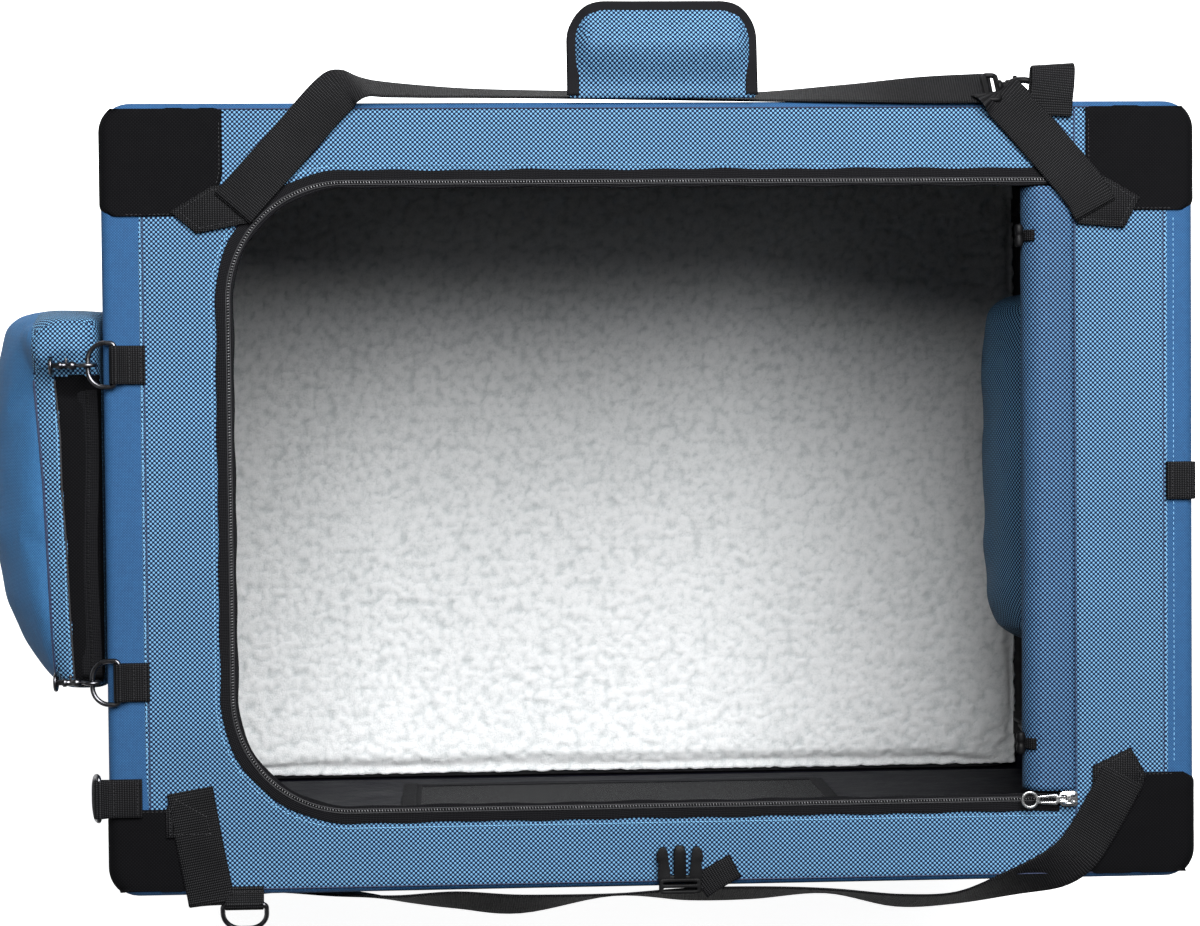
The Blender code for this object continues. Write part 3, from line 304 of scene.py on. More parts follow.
crate = {"end": 0.381, "side": 0.2745, "top": 0.533, "coverEnd": 0.3797, "coverSide": 0.2732, "coverTop": 0.5317,
         "bandLow": 0.5005, "baseHigh": 0.039, "wallEnd": 0.3767, "wallSide": 0.270, "knee": 0.27025,
         "openLeft": -0.291, "openRight": 0.2945, "openFront": -0.2135, "openBack": 0.2155, "openRound": 0.078,
         "seamLeft": -0.351, "seamRight": 0.358}


def waves(x, y, scale, seed):
    # Smooth bumps from a few sines that cross at fixed random angles
    count = 7
    rng = np.random.default_rng(seed)
    total = np.zeros(np.broadcast(x, y).shape)
    for _ in range(count):
        angle, phase, stretch = rng.uniform(0, math.tau), rng.uniform(0, math.tau), rng.uniform(0.6, 1.7)
        total = total + np.sin((x * math.cos(angle) + y * math.sin(angle)) * math.tau * stretch / scale + phase)
    return total / count


def meshFrom(name, points, faces, finishes, body=None):
    data = bpy.data.meshes.new(name)
    data.from_pydata([tuple(map(float, point)) for point in points], [], [tuple(map(int, face)) for face in faces])
    for finish in finishes if isinstance(finishes, (list, tuple)) else [finishes]:
        data.materials.append(finish)
    data.shade_smooth()
    made = bpy.data.objects.new(name, data)
    bpy.context.scene.collection.objects.link(made)
    if body:
        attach(made, body)
    return made


def tidyFaces(made, distance=0.01 * mm):
    bm = bmesh.new()
    bm.from_mesh(made.data)
    bmesh.ops.remove_doubles(bm, verts=bm.verts, dist=distance)
    bmesh.ops.recalc_face_normals(bm, faces=bm.faces)
    bm.to_mesh(made.data)
    bm.free()


def clothUv(made):
    # Each face takes its weave from the plane it faces, in metres
    data = made.data
    layer = data.uv_layers.get("cloth") or data.uv_layers.new(name="cloth")
    places = np.array([v.co for v in data.vertices]).reshape(-1, 3)
    facing = np.abs(np.array([p.normal for p in data.polygons]).reshape(-1, 3)).argmax(1)
    counts = np.array([p.loop_total for p in data.polygons])
    loopFace = np.repeat(facing, counts)
    loopPlace = places[np.array([l.vertex_index for l in data.loops])]
    uv = np.where((loopFace == 0)[:, None], loopPlace[:, [1, 2]],
                  np.where((loopFace == 1)[:, None], loopPlace[:, [0, 2]], loopPlace[:, [0, 1]]))
    layer.data.foreach_set("uv", uv.astype(np.float32).ravel())


def finishMesh(made, bevel=0, levels=0, thick=0, offset=-1):
    if thick:
        change = made.modifiers.new("thickness", "SOLIDIFY")
        change.thickness = thick
        change.offset = offset
    if bevel:
        change = made.modifiers.new("softEdge", "BEVEL")
        change.width = bevel
        change.segments = 2
        change.limit_method = "ANGLE"
        change.angle_limit = math.radians(40)
    if levels:
        change = made.modifiers.new("smooth", "SUBSURF")
        change.levels = levels
        change.render_levels = levels
    return made


def applyAll(made):
    # Turns a piece with modifiers into a plain mesh
    graph = bpy.context.evaluated_depsgraph_get()
    graph.update()
    old = made.data
    made.data = bpy.data.meshes.new_from_object(made.evaluated_get(graph))
    made.data.name = made.name
    made.modifiers.clear()
    bpy.data.meshes.remove(old)
    return made


def smoothPath(rows, perGap):
    # Catmull-Rom through the rows
    rows = np.array(rows, float)
    full = np.vstack([2 * rows[0] - rows[1], rows, 2 * rows[-1] - rows[-2]])
    made = []
    for index in range(1, len(full) - 2):
        a, b, c, d = full[index - 1:index + 3]
        for step in range(perGap):
            t = step / perGap
            made.append(0.5 * (2 * b + (c - a) * t + (2 * a - 5 * b + 4 * c - d) * t * t
                               + (3 * b - a - 3 * c + d) * t ** 3))
    made.append(rows[-1])
    return np.array(made)


def unit(rows):
    return rows / np.maximum(np.linalg.norm(rows, axis=-1, keepdims=True), 1e-12)


def sweep(name, path, sides, section, finish, closed=False, body=None, scales=None):
    # Carries a closed section (across, up) along a path; the cloth map runs along and round it in metres
    path, sides = np.array(path, float), np.array(sides, float)
    if sides.ndim == 1:
        sides = np.tile(sides, (len(path), 1))
    ahead = unit(np.roll(path, -1, 0) - np.roll(path, 1, 0)) if closed else unit(np.gradient(path, axis=0))
    sides = unit(sides - ahead * (sides * ahead).sum(1, keepdims=True))
    ups = np.cross(ahead, sides)
    section = np.array(section, float)
    count, around = len(path), len(section)
    grow = np.ones(count) if scales is None else np.array(scales)
    grow = grow[:, None, None]
    points = (path[:, None] + sides[:, None] * section[None, :, :1] * grow
              + ups[:, None] * section[None, :, 1:] * grow).reshape(-1, 3)
    run = np.concatenate([[0], np.cumsum(np.linalg.norm(np.diff(path, axis=0), axis=1))])
    run = np.append(run, run[-1] + np.linalg.norm(path[0] - path[-1]))
    girth = np.concatenate([[0], np.cumsum(np.linalg.norm(np.roll(section, -1, 0) - section, axis=1))])
    faces, uv = [], []
    for i in range(count if closed else count - 1):
        for j in range(around):
            n = (i + 1) % count
            k = (j + 1) % around
            faces.append((i * around + j, i * around + k, n * around + k, n * around + j))
            uv += [(run[i], girth[j]), (run[i], girth[j + 1]), (run[i + 1], girth[j + 1]), (run[i + 1], girth[j])]
    if not closed:
        for row, order in ((0, range(around - 1, -1, -1)), (count - 1, range(around))):
            faces.append([row * around + j for j in order])
            uv += [tuple(section[j]) for j in order]
    made = meshFrom(name, points, faces, finish, body)
    layer = made.data.uv_layers.new(name="cloth")
    layer.data.foreach_set("uv", np.array(uv, np.float32).ravel())
    return made


def roundSection(radius, sides):
    return [(radius * math.cos(a), radius * math.sin(a)) for a in np.linspace(0, math.tau, sides, endpoint=False)]


def tapeSection(width, thick, steps=8):
    # A flat band with rounded edges and a row of points across each face
    half, r = width / 2 - thick / 2, thick / 2
    rows = [(x, r) for x in np.linspace(half, -half, steps)]
    rows += [(-half - r * math.sin(a), r * math.cos(a)) for a in (0.8, 1.57, 2.34)]
    rows += [(x, -r) for x in np.linspace(-half, half, steps)]
    rows += [(half + r * math.sin(a), r * math.cos(a)) for a in (2.34, 1.57, 0.8)]
    return rows[::-1]


def tube(name, path, radius, finish, sides=10, closed=False, body=None, scales=None):
    # Sides are carried along the path without twist
    path = np.array(path, float)
    ahead = unit(np.roll(path, -1, 0) - np.roll(path, 1, 0)) if closed else unit(np.gradient(path, axis=0))
    start = np.array((0, 0, 1.0)) if abs(ahead[0][2]) < 0.8 else np.array((1.0, 0, 0))
    rows = [start]
    for step in ahead:
        rows.append(rows[-1] - step * (rows[-1] @ step))
        rows[-1] = rows[-1] / np.linalg.norm(rows[-1])
    return sweep(name, path, rows[1:], roundSection(radius, sides), finish, closed, body, scales)


def loft(name, loops, finish, ring=False, ends=False):
    # Quads between loops of the same count; ring joins the last to the first, ends closes each with a fan
    loops = np.array(loops, float)
    rows, count = loops.shape[:2]
    points = list(loops.reshape(-1, 3))
    faces = []
    for i in range(rows if ring else rows - 1):
        n = (i + 1) % rows
        for j in range(count):
            k = (j + 1) % count
            faces.append((i * count + j, i * count + k, n * count + k, n * count + j))
    if ends:
        for row in (0, rows - 1):
            points.append(loops[row].mean(0))
            for j in range(count):
                faces.append((row * count + j, len(points) - 1, row * count + (j + 1) % count))
    made = meshFrom(name, points, faces, finish)
    tidyFaces(made)
    return made


def patchGrid(name, grid, finish, skip=None):
    # An open grid of points (rows, columns, 3)
    grid = np.array(grid, float)
    rows, columns = grid.shape[:2]
    faces = [(i * columns + j, i * columns + j + 1, (i + 1) * columns + j + 1, (i + 1) * columns + j)
             for i in range(rows - 1) for j in range(columns - 1) if not (skip and skip(i, j))]
    return meshFrom(name, grid.reshape(-1, 3), faces, finish)


def roundedLoop(x0, x1, y0, y1, radii, steps=16, spacing=0.006):
    # Corners: right back, left back, left front, right front
    made = []
    corners = ((x1, y1, 0), (x0, y1, 90), (x0, y0, 180), (x1, y0, 270))
    for (x, y, start), radius in zip(corners, radii):
        cx = x - radius if x == x1 else x + radius
        cy = y - radius if y == y1 else y + radius
        for angle in np.radians(np.linspace(start, start + 90, steps)):
            made.append((cx + radius * math.cos(angle), cy + radius * math.sin(angle)))
    made = np.array(made)
    full = np.vstack([made, made[:1]])
    run = np.concatenate([[0], np.cumsum(np.linalg.norm(np.diff(full, axis=0), axis=1))])
    spots = np.linspace(0, run[-1], int(run[-1] / spacing), endpoint=False)
    return np.column_stack([np.interp(spots, run, full[:, 0]), np.interp(spots, run, full[:, 1])])


def alongRays(loop, angles):
    # Where rays from the middle cross a loop
    turn = np.unwrap(np.arctan2(loop[:, 1], loop[:, 0]))
    reach = np.hypot(loop[:, 0], loop[:, 1])
    order = np.argsort(turn % math.tau)
    turn, reach = (turn % math.tau)[order], reach[order]
    turn = np.concatenate([turn[-1:] - math.tau, turn, turn[:1] + math.tau])
    reach = np.concatenate([reach[-1:], reach, reach[:1]])
    far = np.interp(angles % math.tau, turn, reach)
    return np.column_stack([far * np.cos(angles), far * np.sin(angles)])


# Stitches and zip teeth: one Geometry Nodes tree lays small bars along a run

def makeRunTree():
    tree = bpy.data.node_groups.new("barsAlongRun", "GeometryNodeTree")
    face = tree.interface
    ids = {}
    for name, kind in (("Run", "Geometry"), ("Pitch", "Float"), ("Long", "Float"), ("Wide", "Float"),
                       ("High", "Float"), ("Twist", "Float"), ("Finish", "Material")):
        ids[name] = face.new_socket(name, in_out="INPUT", socket_type="NodeSocket" + kind).identifier
    face.new_socket("Bars", in_out="OUTPUT", socket_type="NodeSocketGeometry")

    def add(kind, settings=None, inputs=None):
        made = tree.nodes.new(kind)
        for key, value in (settings or {}).items():
            setattr(made, key, value)
        for key, value in (inputs or {}).items():
            if isinstance(value, bpy.types.NodeSocket):
                tree.links.new(value, made.inputs[key])
            else:
                made.inputs[key].default_value = value
        return made

    given = add("NodeGroupInput")
    curve = add("GeometryNodeMeshToCurve", inputs={"Mesh": given.outputs["Run"]})
    spaced = add("GeometryNodeResampleCurve", {"mode": "LENGTH"}, {"Curve": curve.outputs[0],
                                                                   "Length": given.outputs["Pitch"]})
    ball = add("GeometryNodeMeshUVSphere", inputs={"Segments": 6, "Rings": 4, "Radius": 0.5})
    tangent = add("GeometryNodeInputTangent")
    facing = add("GeometryNodeInputNamedAttribute", {"data_type": "FLOAT_VECTOR"}, {"Name": "facing"})
    along = add("FunctionNodeAlignRotationToVector", {"axis": "X"}, {"Vector": tangent.outputs[0]})
    up = add("FunctionNodeAlignRotationToVector", {"axis": "Z", "pivot_axis": "X"},
             {"Rotation": along.outputs[0], "Vector": facing.outputs[0]})
    shake = add("FunctionNodeRandomValue", {"data_type": "FLOAT"}, {2: -0.06, 3: 0.06, "Seed": 7})
    lean = add("ShaderNodeMath", {"operation": "ADD"}, {0: shake.outputs[1], 1: given.outputs["Twist"]})
    twist = add("ShaderNodeCombineXYZ", inputs={"Z": lean.outputs[0]})
    spin = add("FunctionNodeEulerToRotation", inputs={0: twist.outputs[0]})
    turned = add("FunctionNodeRotateRotation", {"rotation_space": "LOCAL"},
                 {0: up.outputs[0], 1: spin.outputs[0]})
    size = add("ShaderNodeCombineXYZ", inputs={"X": given.outputs["Long"], "Y": given.outputs["Wide"],
                                               "Z": given.outputs["High"]})
    placed = add("GeometryNodeInstanceOnPoints", inputs={"Points": spaced.outputs[0], "Instance": ball.outputs[0],
                                                         "Rotation": turned.outputs[0], "Scale": size.outputs[0]})
    real = add("GeometryNodeRealizeInstances", inputs={0: placed.outputs[0]})
    smooth = add("GeometryNodeSetShadeSmooth", inputs={0: real.outputs[0]})
    finished = add("GeometryNodeSetMaterial", inputs={0: smooth.outputs[0], "Material": given.outputs["Finish"]})
    result = add("NodeGroupOutput")
    tree.links.new(finished.outputs[0], result.inputs[0])
    return tree, ids


runTree, runInputs = makeRunTree()


def bars(name, runs, facing, finish, body, pitch, long, wide, high, twist=0.0):
    # Each run is a list of points; facing is one direction or one for each point
    points, edges, normals = [], [], []
    for run, way in zip(runs, facing if isinstance(facing, list) else [facing] * len(runs)):
        run = np.array(run, float)
        first = len(points)
        points += [tuple(p) for p in run]
        edges += [(first + i, first + i + 1) for i in range(len(run) - 1)]
        normals += [tuple(n) for n in np.broadcast_to(np.array(way, float), run.shape)]
    data = bpy.data.meshes.new(name)
    data.from_pydata(points, edges, [])
    held = data.attributes.new("facing", "FLOAT_VECTOR", "POINT")
    held.data.foreach_set("vector", np.array(normals, np.float32).ravel())
    made = bpy.data.objects.new(name, data)
    bpy.context.scene.collection.objects.link(made)
    change = made.modifiers.new("bars", "NODES")
    change.node_group = runTree
    for key, value in (("Pitch", pitch), ("Long", long), ("Wide", wide), ("High", high), ("Twist", twist),
                       ("Finish", finish)):
        change[runInputs[key]] = value
    applyAll(made)
    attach(made, body)
    return made


def stitches(name, runs, facing, body, finish=None, pitch=3.6 * mm):
    return bars(name, runs, facing, finish or blueThread, body, pitch, long=pitch * 0.72, wide=0.55 * mm,
                high=0.5 * mm)


def straight(a, b, spacing=0.01):
    count = max(2, int(np.linalg.norm(np.subtract(b, a)) / spacing))
    return np.linspace(a, b, count)


def seamLine(name, path, finish, body, radius=0.45 * mm):
    return tube(name, path, radius, finish, sides=6, body=body)


def swell(made, voxel, pressure, cap, frames, hold):
    # Cloth blown up from inside, with each point's travel capped
    shape = made.copy()
    shape.data = made.data.copy()
    bpy.context.scene.collection.objects.link(shape)
    shape.parent = None
    shape.matrix_world = Matrix.Identity(4)
    remesh = shape.modifiers.new("even", "REMESH")
    remesh.mode = "VOXEL"
    remesh.voxel_size = voxel
    applyAll(shape)
    start = np.array([v.co for v in shape.data.vertices])
    group = shape.vertex_groups.new(name="held")
    group.add([int(i) for i in np.nonzero(hold(start))[0]], 1.0, "REPLACE")
    cloth = shape.modifiers.new("cloth", "CLOTH")
    feel = cloth.settings
    feel.use_pressure = True
    feel.uniform_pressure_force = pressure
    feel.quality = 5
    feel.tension_stiffness = 15
    feel.compression_stiffness = 15
    feel.bending_stiffness = 1.5
    feel.effector_weights.gravity = 0
    feel.vertex_group_mass = "held"
    cloth.collision_settings.use_collision = False
    cloth.point_cache.frame_end = frames
    for number in range(1, frames + 1):
        bpy.context.scene.frame_set(number)
    graph = bpy.context.evaluated_depsgraph_get()
    result = shape.evaluated_get(graph).to_mesh()
    moved = np.array([v.co for v in result.vertices]) - start
    shape.evaluated_get(graph).to_mesh_clear()
    far = np.linalg.norm(moved, axis=1, keepdims=True)
    place = start + moved * np.minimum(1, cap / np.maximum(far, 1e-9))
    shape.modifiers.clear()
    shape.data.vertices.foreach_set("co", place.astype(np.float32).ravel())
    shape.data.update()
    bpy.context.scene.frame_set(1)
    name = made.name
    bpy.data.objects.remove(made, do_unlink=True)
    shape.name = name
    return shape


# Top cover: one skin with the door opening, a rounded edge over the frame tube, and the band below it

top = {"steps": 14, "edgeRound": 7 * mm, "skin": 1.6 * mm, "ripple": 0.8 * mm, "turns": 640}
openLoop = roundedLoop(crate["openLeft"], crate["openRight"], crate["openFront"], crate["openBack"],
                       (0.004, crate["openRound"], crate["openRound"], 0.004), 24, 0.001)
rayAngles = np.arctan2(*roundedLoop(-crate["coverEnd"], crate["coverEnd"], -crate["coverSide"], crate["coverSide"],
                                    (0.02,) * 4, 24, 2.63 / top["turns"])[:, ::-1].T)


def shrunk(amount):
    return roundedLoop(amount - crate["coverEnd"], crate["coverEnd"] - amount, amount - crate["coverSide"],
                       crate["coverSide"] - amount, (max(0.02 - amount, 0.003),) * 4, 24, 0.001)


def topRipple(x, y):
    # Cloth between the frame and the zip lies in shallow waves, still at the frame
    return top["ripple"] * (waves(x, y, 0.16, 3) + 0.5 * waves(x, y, 0.05, 5))


def edgeProfile(inner, lift, low, angles, steps):
    # Loops from an inner line, over the rounded edge and down the band
    r = top["edgeRound"]
    rim = alongRays(shrunk(r), angles)
    loops = []
    for share in np.linspace(0, 1, steps):
        flat = inner + (rim - inner) * share
        z = crate["coverTop"] + lift + topRipple(flat[:, 0], flat[:, 1]) * (1 - share ** 3)
        loops.append(np.column_stack([flat, z]))
    for angle in np.radians((18, 36, 54, 72, 90)):
        flat = alongRays(shrunk(r - (r + lift) * math.sin(angle)), angles)
        loops.append(np.column_stack([flat, np.full(len(flat), crate["coverTop"] - r + (r + lift) * math.cos(angle))]))
    wall = alongRays(shrunk(-lift), angles)
    for z in np.linspace(crate["coverTop"] - r, low, 5)[1:]:
        loops.append(np.column_stack([wall, np.full(len(wall), z)]))
    return loops


def makeTopCover():
    inner = alongRays(openLoop, rayAngles)
    outside = edgeProfile(inner, 0, crate["bandLow"], rayAngles, top["steps"])
    skin = top["skin"]
    band = alongRays(shrunk(skin), rayAngles)
    inside = [np.column_stack([band, np.full(len(band), z)])
              for z in (crate["bandLow"], crate["coverTop"] - top["edgeRound"])]
    inside += [loop - np.array((0, 0, skin)) for loop in outside[top["steps"] - 1::-5] + outside[:1]]
    made = loft("topCover", outside + inside, [blueCloth, plainBlue, blackLining], ring=True)
    for face in made.data.polygons:
        x, y, z = face.center
        edge = abs(y) > crate["coverSide"] - 4.5 * mm or z < crate["coverTop"] - 2.5 * mm
        end = x < crate["seamLeft"] or x > crate["seamRight"]
        face.material_index = 1 if edge or end else 0
        if face.normal.z < -0.5 and z > crate["coverTop"] - 6 * mm:
            face.material_index = 2
    clothUv(made)
    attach(made, "top")
    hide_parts("top_cover")


def onTop(x, y, lift=0.3 * mm):
    return (x, y, crate["coverTop"] + float(topRipple(np.array(x), np.array(y))) * 0.6 + lift)


def makeTopSeams():
    side = crate["coverSide"]
    lineY = side - 4.5 * mm
    for name, y in (("backSeam", lineY), ("frontSeam", -lineY)):
        seamLine(name, [(x, y, crate["coverTop"] + 0.1 * mm) for x in np.linspace(-0.362, 0.362, 90)], navySeam, "top")
    ys = np.linspace(-side + 0.006, side - 0.006, 80)
    for name, x in (("leftEndSeam", crate["seamLeft"]), ("rightEndSeam", crate["seamRight"])):
        seamLine(name, [onTop(x, y, 0.1 * mm) for y in ys], navySeam, "top")
    rows = (crate["seamLeft"] - 1.6 * mm, crate["seamRight"] + 1.8 * mm, crate["seamRight"] + 7 * mm)
    stitches("endStitches", [[onTop(x, y) for y in np.linspace(-0.19, 0.19, 60)] for x in rows], (0, 0, 1), "top")
    hinge = [onTop(crate["openRight"] + 0.5 * mm, y, 0.05 * mm) for y in ys]
    seamLine("hingeSeam", hinge, navySeam, "top", 0.5 * mm)
    # Fine rows beside the zip tape
    loop = zipLine(zipper["stitchOut"])
    stitches("zipStitches", [[onTop(x, y) for x, y in loop]], (0, 0, 1), "top", pitch=3.2 * mm)


# Zip round the opening: tape with a wavy inner edge, coil teeth, slider and pull

zipper = {"tape": 12.5 * mm, "tapeThick": 0.7 * mm, "coilIn": 2.4 * mm, "toothPitch": 2.0 * mm, "toothWide": 2.6 * mm,
          "endFront": 0.285, "endBack": 0.291, "stitchOut": 14.2 * mm}


def zipLine(outward):
    # The opening's three zipped sides, from the hinge end of the back to the hinge end of the front
    radius, spacing = crate["openRound"] + outward, 4 * mm
    x0, y0, y1 = crate["openLeft"] - outward, crate["openFront"] - outward, crate["openBack"] + outward

    def corner(y, first):
        return [(x0 + radius + radius * math.cos(a), y + radius * math.sin(a))
                for a in np.radians(np.arange(first, first + 90, 2.5))]

    rows = [(x, y1) for x in np.arange(zipper["endBack"], x0 + radius, -spacing)] + corner(y1 - radius, 90)
    rows += [(x0, y) for y in np.arange(y1 - radius, y0 + radius, -spacing)] + corner(y0 + radius, 180)
    rows += [(x, y0) for x in np.arange(x0 + radius, zipper["endFront"], spacing)]
    return np.array(rows)


def makeZip():
    def raised(line, lift):
        level = crate["coverTop"] + 0.7 * mm + lift
        return [(x, y, level + float(topRipple(np.array(x), np.array(y))) * 0.5) for x, y in line]

    path = np.array(raised(zipLine(zipper["tape"] / 2 - 1.5 * mm), 0))
    out = unit(np.cross((0, 0, 1.0), -unit(np.gradient(path, axis=0))))
    wave = 0.7 * mm * np.sin(np.arange(len(path)) * 0.55) + 0.5 * mm * np.sin(np.arange(len(path)) * 0.21 + 1)
    path[:, :2] += out[:, :2] * wave[:, None] * 0.5
    tape = sweep("zipTape", path, out, tapeSection(zipper["tape"], zipper["tapeThick"]), zipTape, body="top")
    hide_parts("top_zip")
    teeth = bars("zipCoil", [raised(zipLine(zipper["coilIn"]), 0.9 * mm)], (0, 0, 1), toothMetal, "top",
                 zipper["toothPitch"], long=1.0 * mm, wide=zipper["toothWide"], high=1.1 * mm, twist=0.25)
    for index, shift in enumerate((-1.3 * mm, 1.3 * mm)):
        tube(f"zipCord{index}", raised(zipLine(zipper["coilIn"] + shift), 0.55 * mm), 0.5 * mm, blackThread, 6,
             body="top")


def plate(name, outline, low, high, finish, bevel, body, holes=()):
    # A flat piece from an outline of (x, y) points, with its edges rounded
    bm = bmesh.new()
    edges = []
    for line in (outline, *holes):
        spots = [bm.verts.new((x, y, low)) for x, y in line]
        edges += [bm.edges.new((spots[i], spots[(i + 1) % len(spots)])) for i in range(len(spots))]
    bmesh.ops.triangle_fill(bm, use_beauty=True, use_dissolve=False, edges=edges)
    raised = bmesh.ops.extrude_face_region(bm, geom=list(bm.faces))
    bmesh.ops.translate(bm, verts=[g for g in raised["geom"] if isinstance(g, bmesh.types.BMVert)],
                        vec=(0, 0, high - low))
    bmesh.ops.recalc_face_normals(bm, faces=bm.faces)
    data = bpy.data.meshes.new(name)
    bm.to_mesh(data)
    bm.free()
    data.materials.append(finish)
    data.shade_smooth()
    made = bpy.data.objects.new(name, data)
    bpy.context.scene.collection.objects.link(made)
    finishMesh(made, bevel=bevel)
    applyAll(made)
    clothUv(made)
    if body:
        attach(made, body)
    return made


def joined(name, parts, body):
    # One piece from several that move together
    bm = bmesh.new()
    finishes = []
    for part in parts:
        finish = part.data.materials[0]
        if finish not in finishes:
            finishes.append(finish)
        for face in part.data.polygons:
            face.material_index = finishes.index(finish)
        bm.from_mesh(part.data)
        bpy.data.objects.remove(part, do_unlink=True)
    data = bpy.data.meshes.new(name)
    bm.to_mesh(data)
    bm.free()
    for finish in finishes:
        data.materials.append(finish)
    made = bpy.data.objects.new(name, data)
    bpy.context.scene.collection.objects.link(made)
    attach(made, body)
    return made


slider = {"centre": (0.2885, -0.21575), "long": 13.4 * mm, "wide": 10.6 * mm, "eyeZ": 0.5383, "pull": 34 * mm,
          "pullWide": 12.4 * mm, "wire": 1.7 * mm}


def makeSlider():
    cx, cy = slider["centre"]
    half, side = slider["long"] / 2, slider["wide"] / 2
    low = slider["eyeZ"] - 4.2 * mm
    rim = roundedLoop(cx - half, cx + half, cy - side, cy + side, (2 * mm, 4 * mm, 4 * mm, 2 * mm), 5, 1.2 * mm)
    body = plate("sliderBody", rim, low, low + 1.9 * mm, silver, 0.5 * mm, None)
    posts = []
    for way in (-1, 1):
        y = cy + way * 2.7 * mm
        path = [(cx + 5 * mm, y, low + 1.6 * mm), (cx + 3.6 * mm, y, low + 4.6 * mm), (cx + 1 * mm, y, low + 5.6 * mm),
                (cx - 2.4 * mm, y, low + 5.2 * mm), (cx - 4.6 * mm, y, low + 1.6 * mm)]
        posts.append(tube(f"sliderPost{way}", smoothPath(path, 5), 0.75 * mm, silver, 8))
    pin = tube("sliderPin", straight((cx, cy - 3 * mm, slider["eyeZ"]), (cx, cy + 3 * mm, slider["eyeZ"]), 0.001),
               0.8 * mm, silver, 10)
    made = joined("zipSlider", [body, pin] + posts, "zip_slider")
    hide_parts("zip_slider")
    # Pull: a frame with two windows near the pin and a ring at its end
    z, thick = slider["eyeZ"], slider["wire"]
    far = cx - slider["pull"]
    ringR = slider["pullWide"] / 2
    ringX = far + ringR

    def circle(radius, angles):
        return [(ringX + radius * math.cos(a), cy + radius * math.sin(a)) for a in np.radians(angles)]

    neck = 2.6 * mm
    flank = [(ringX + 8 * mm, 1.1), (cx - 9 * mm, 1.5), (cx - 7.4 * mm, 0.9), (cx + 1.8 * mm, 0.8)]
    outline = circle(ringR, np.arange(25, 336, 10)) + [(x, cy - neck * wide) for x, wide in flank]
    outline += [(x, cy + neck * wide) for x, wide in flank[::-1]]
    eye = circle(ringR - 1.9 * mm, np.arange(0, 360, 12))
    window = roundedLoop(cx - 6.6 * mm, cx - 1.5 * mm, cy - 1.0 * mm, cy + 1.0 * mm, (0.4 * mm,) * 4, 3, 0.0006)
    slot = roundedLoop(ringX + 7 * mm, cx - 9.5 * mm, cy - 1.4 * mm, cy + 1.4 * mm, (0.6 * mm,) * 4, 3, 0.0008)
    pull = plate("zipPull", outline, z - thick / 2, z + thick / 2, silver, 0.35 * mm, "zip_pull", (eye, window, slot))
    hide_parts("zip_pull")


# Corner patches: sectors of the cover's own loops, a little proud of it. They stop at the long edges' seam

patch = {"left_back": (85, 79), "right_back": (78, 78), "right_front": (77, 76), "left_front": (72, 62),
         "round": 32 * mm, "lift": 1.15 * mm, "low": 0.0312}


def makePatch(name, signX, signY):
    long, short = (size * mm for size in patch[name])
    x0, y0 = crate["end"] - long, crate["side"] - short
    curve = patch["round"]
    corner = [(x0, y) for y in np.linspace(0.30, y0 + curve, 60)]
    corner += [(x0 + curve - curve * math.cos(a), y0 + curve - curve * math.sin(a))
               for a in np.radians(np.linspace(0, 90, 30))]
    corner += [(x, y0) for x in np.linspace(x0 + curve, 0.42, 60)]
    corner = np.array(corner)
    line = crate["coverSide"] - 4.2 * mm
    high = math.atan2(line - 0.5 * mm, x0 + 0.8 * mm)
    low = math.atan2(y0 + 4.5 * mm, crate["coverEnd"])
    angles = np.linspace(low, high, 72)
    turn = np.arctan2(corner[:, 1], corner[:, 0])
    order = np.argsort(turn)
    reach = np.interp(angles, turn[order], np.hypot(corner[:, 0], corner[:, 1])[order])
    start = np.column_stack([reach * np.cos(angles), reach * np.sin(angles)])
    start = start * np.minimum(1, (line - 0.3 * mm) / start[:, 1])[:, None]
    limit = alongRays(shrunk(top["edgeRound"]), angles)
    far = np.hypot(limit[:, 0], limit[:, 1])
    start = start * np.minimum(1, (far - 0.2 * mm) / np.hypot(start[:, 0], start[:, 1]))[:, None]
    lifted, flat = (edgeProfile(start, lift, crate["top"] - patch["low"], angles, 16)
                    for lift in (patch["lift"], 0.05 * mm))
    grid = np.array([flat[0]] + lifted + [flat[-1]])
    floor = np.array([flat[0]] + flat + [flat[-1]])
    for rows, lift in ((grid, patch["lift"]), (floor, 0.05 * mm)):
        past = rows[:, :, 1] > line
        share = np.where(past, line / rows[:, :, 1], 1)
        rows[:, :, 0] *= share
        rows[:, :, 1] *= share
        rows[:, :, 2] = np.where(past, crate["coverTop"] + lift - 0.4 * mm, rows[:, :, 2])
    grid[:, 0], grid[:, -1] = floor[:, 0], floor[:, -1]
    for column in (1, -2):
        grid[:, column] = floor[:, column] * (1 - 0.85) + grid[:, column] * 0.85
    grid[:, :, 0] *= signX
    grid[:, :, 1] *= signY
    grid[1:-1, 2:-2, 2] += 0.3 * mm * waves(grid[1:-1, 2:-2, 0], grid[1:-1, 2:-2, 1], 0.03, 11 + signX + 3 * signY)
    made = patchGrid("cornerPatch" + name, grid, blackCloth)
    tidyFaces(made)
    centre = sum((face.normal for face in made.data.polygons), Vector())
    if centre.z < 0:
        made.data.flip_normals()
    clothUv(made)
    finishMesh(made, thick=0.5 * mm, offset=-1)
    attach(made, "top")
    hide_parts("corner_patch_" + name)
    inner = start * (1 + 2.6 * mm / np.hypot(start[:, 0], start[:, 1]))[:, None]
    inner = inner[inner[:, 1] < line - 3 * mm][4:-4]
    run = [(x * signX, y * signY, crate["coverTop"] + patch["lift"] + 0.35 * mm) for x, y in inner]
    stitches("patchStitches" + name, [run], (0, 0, 1), "top", blackThread, 3 * mm)


# Rolled door: cloth wound on itself below its hinge seam, with a tie and toggle near each end

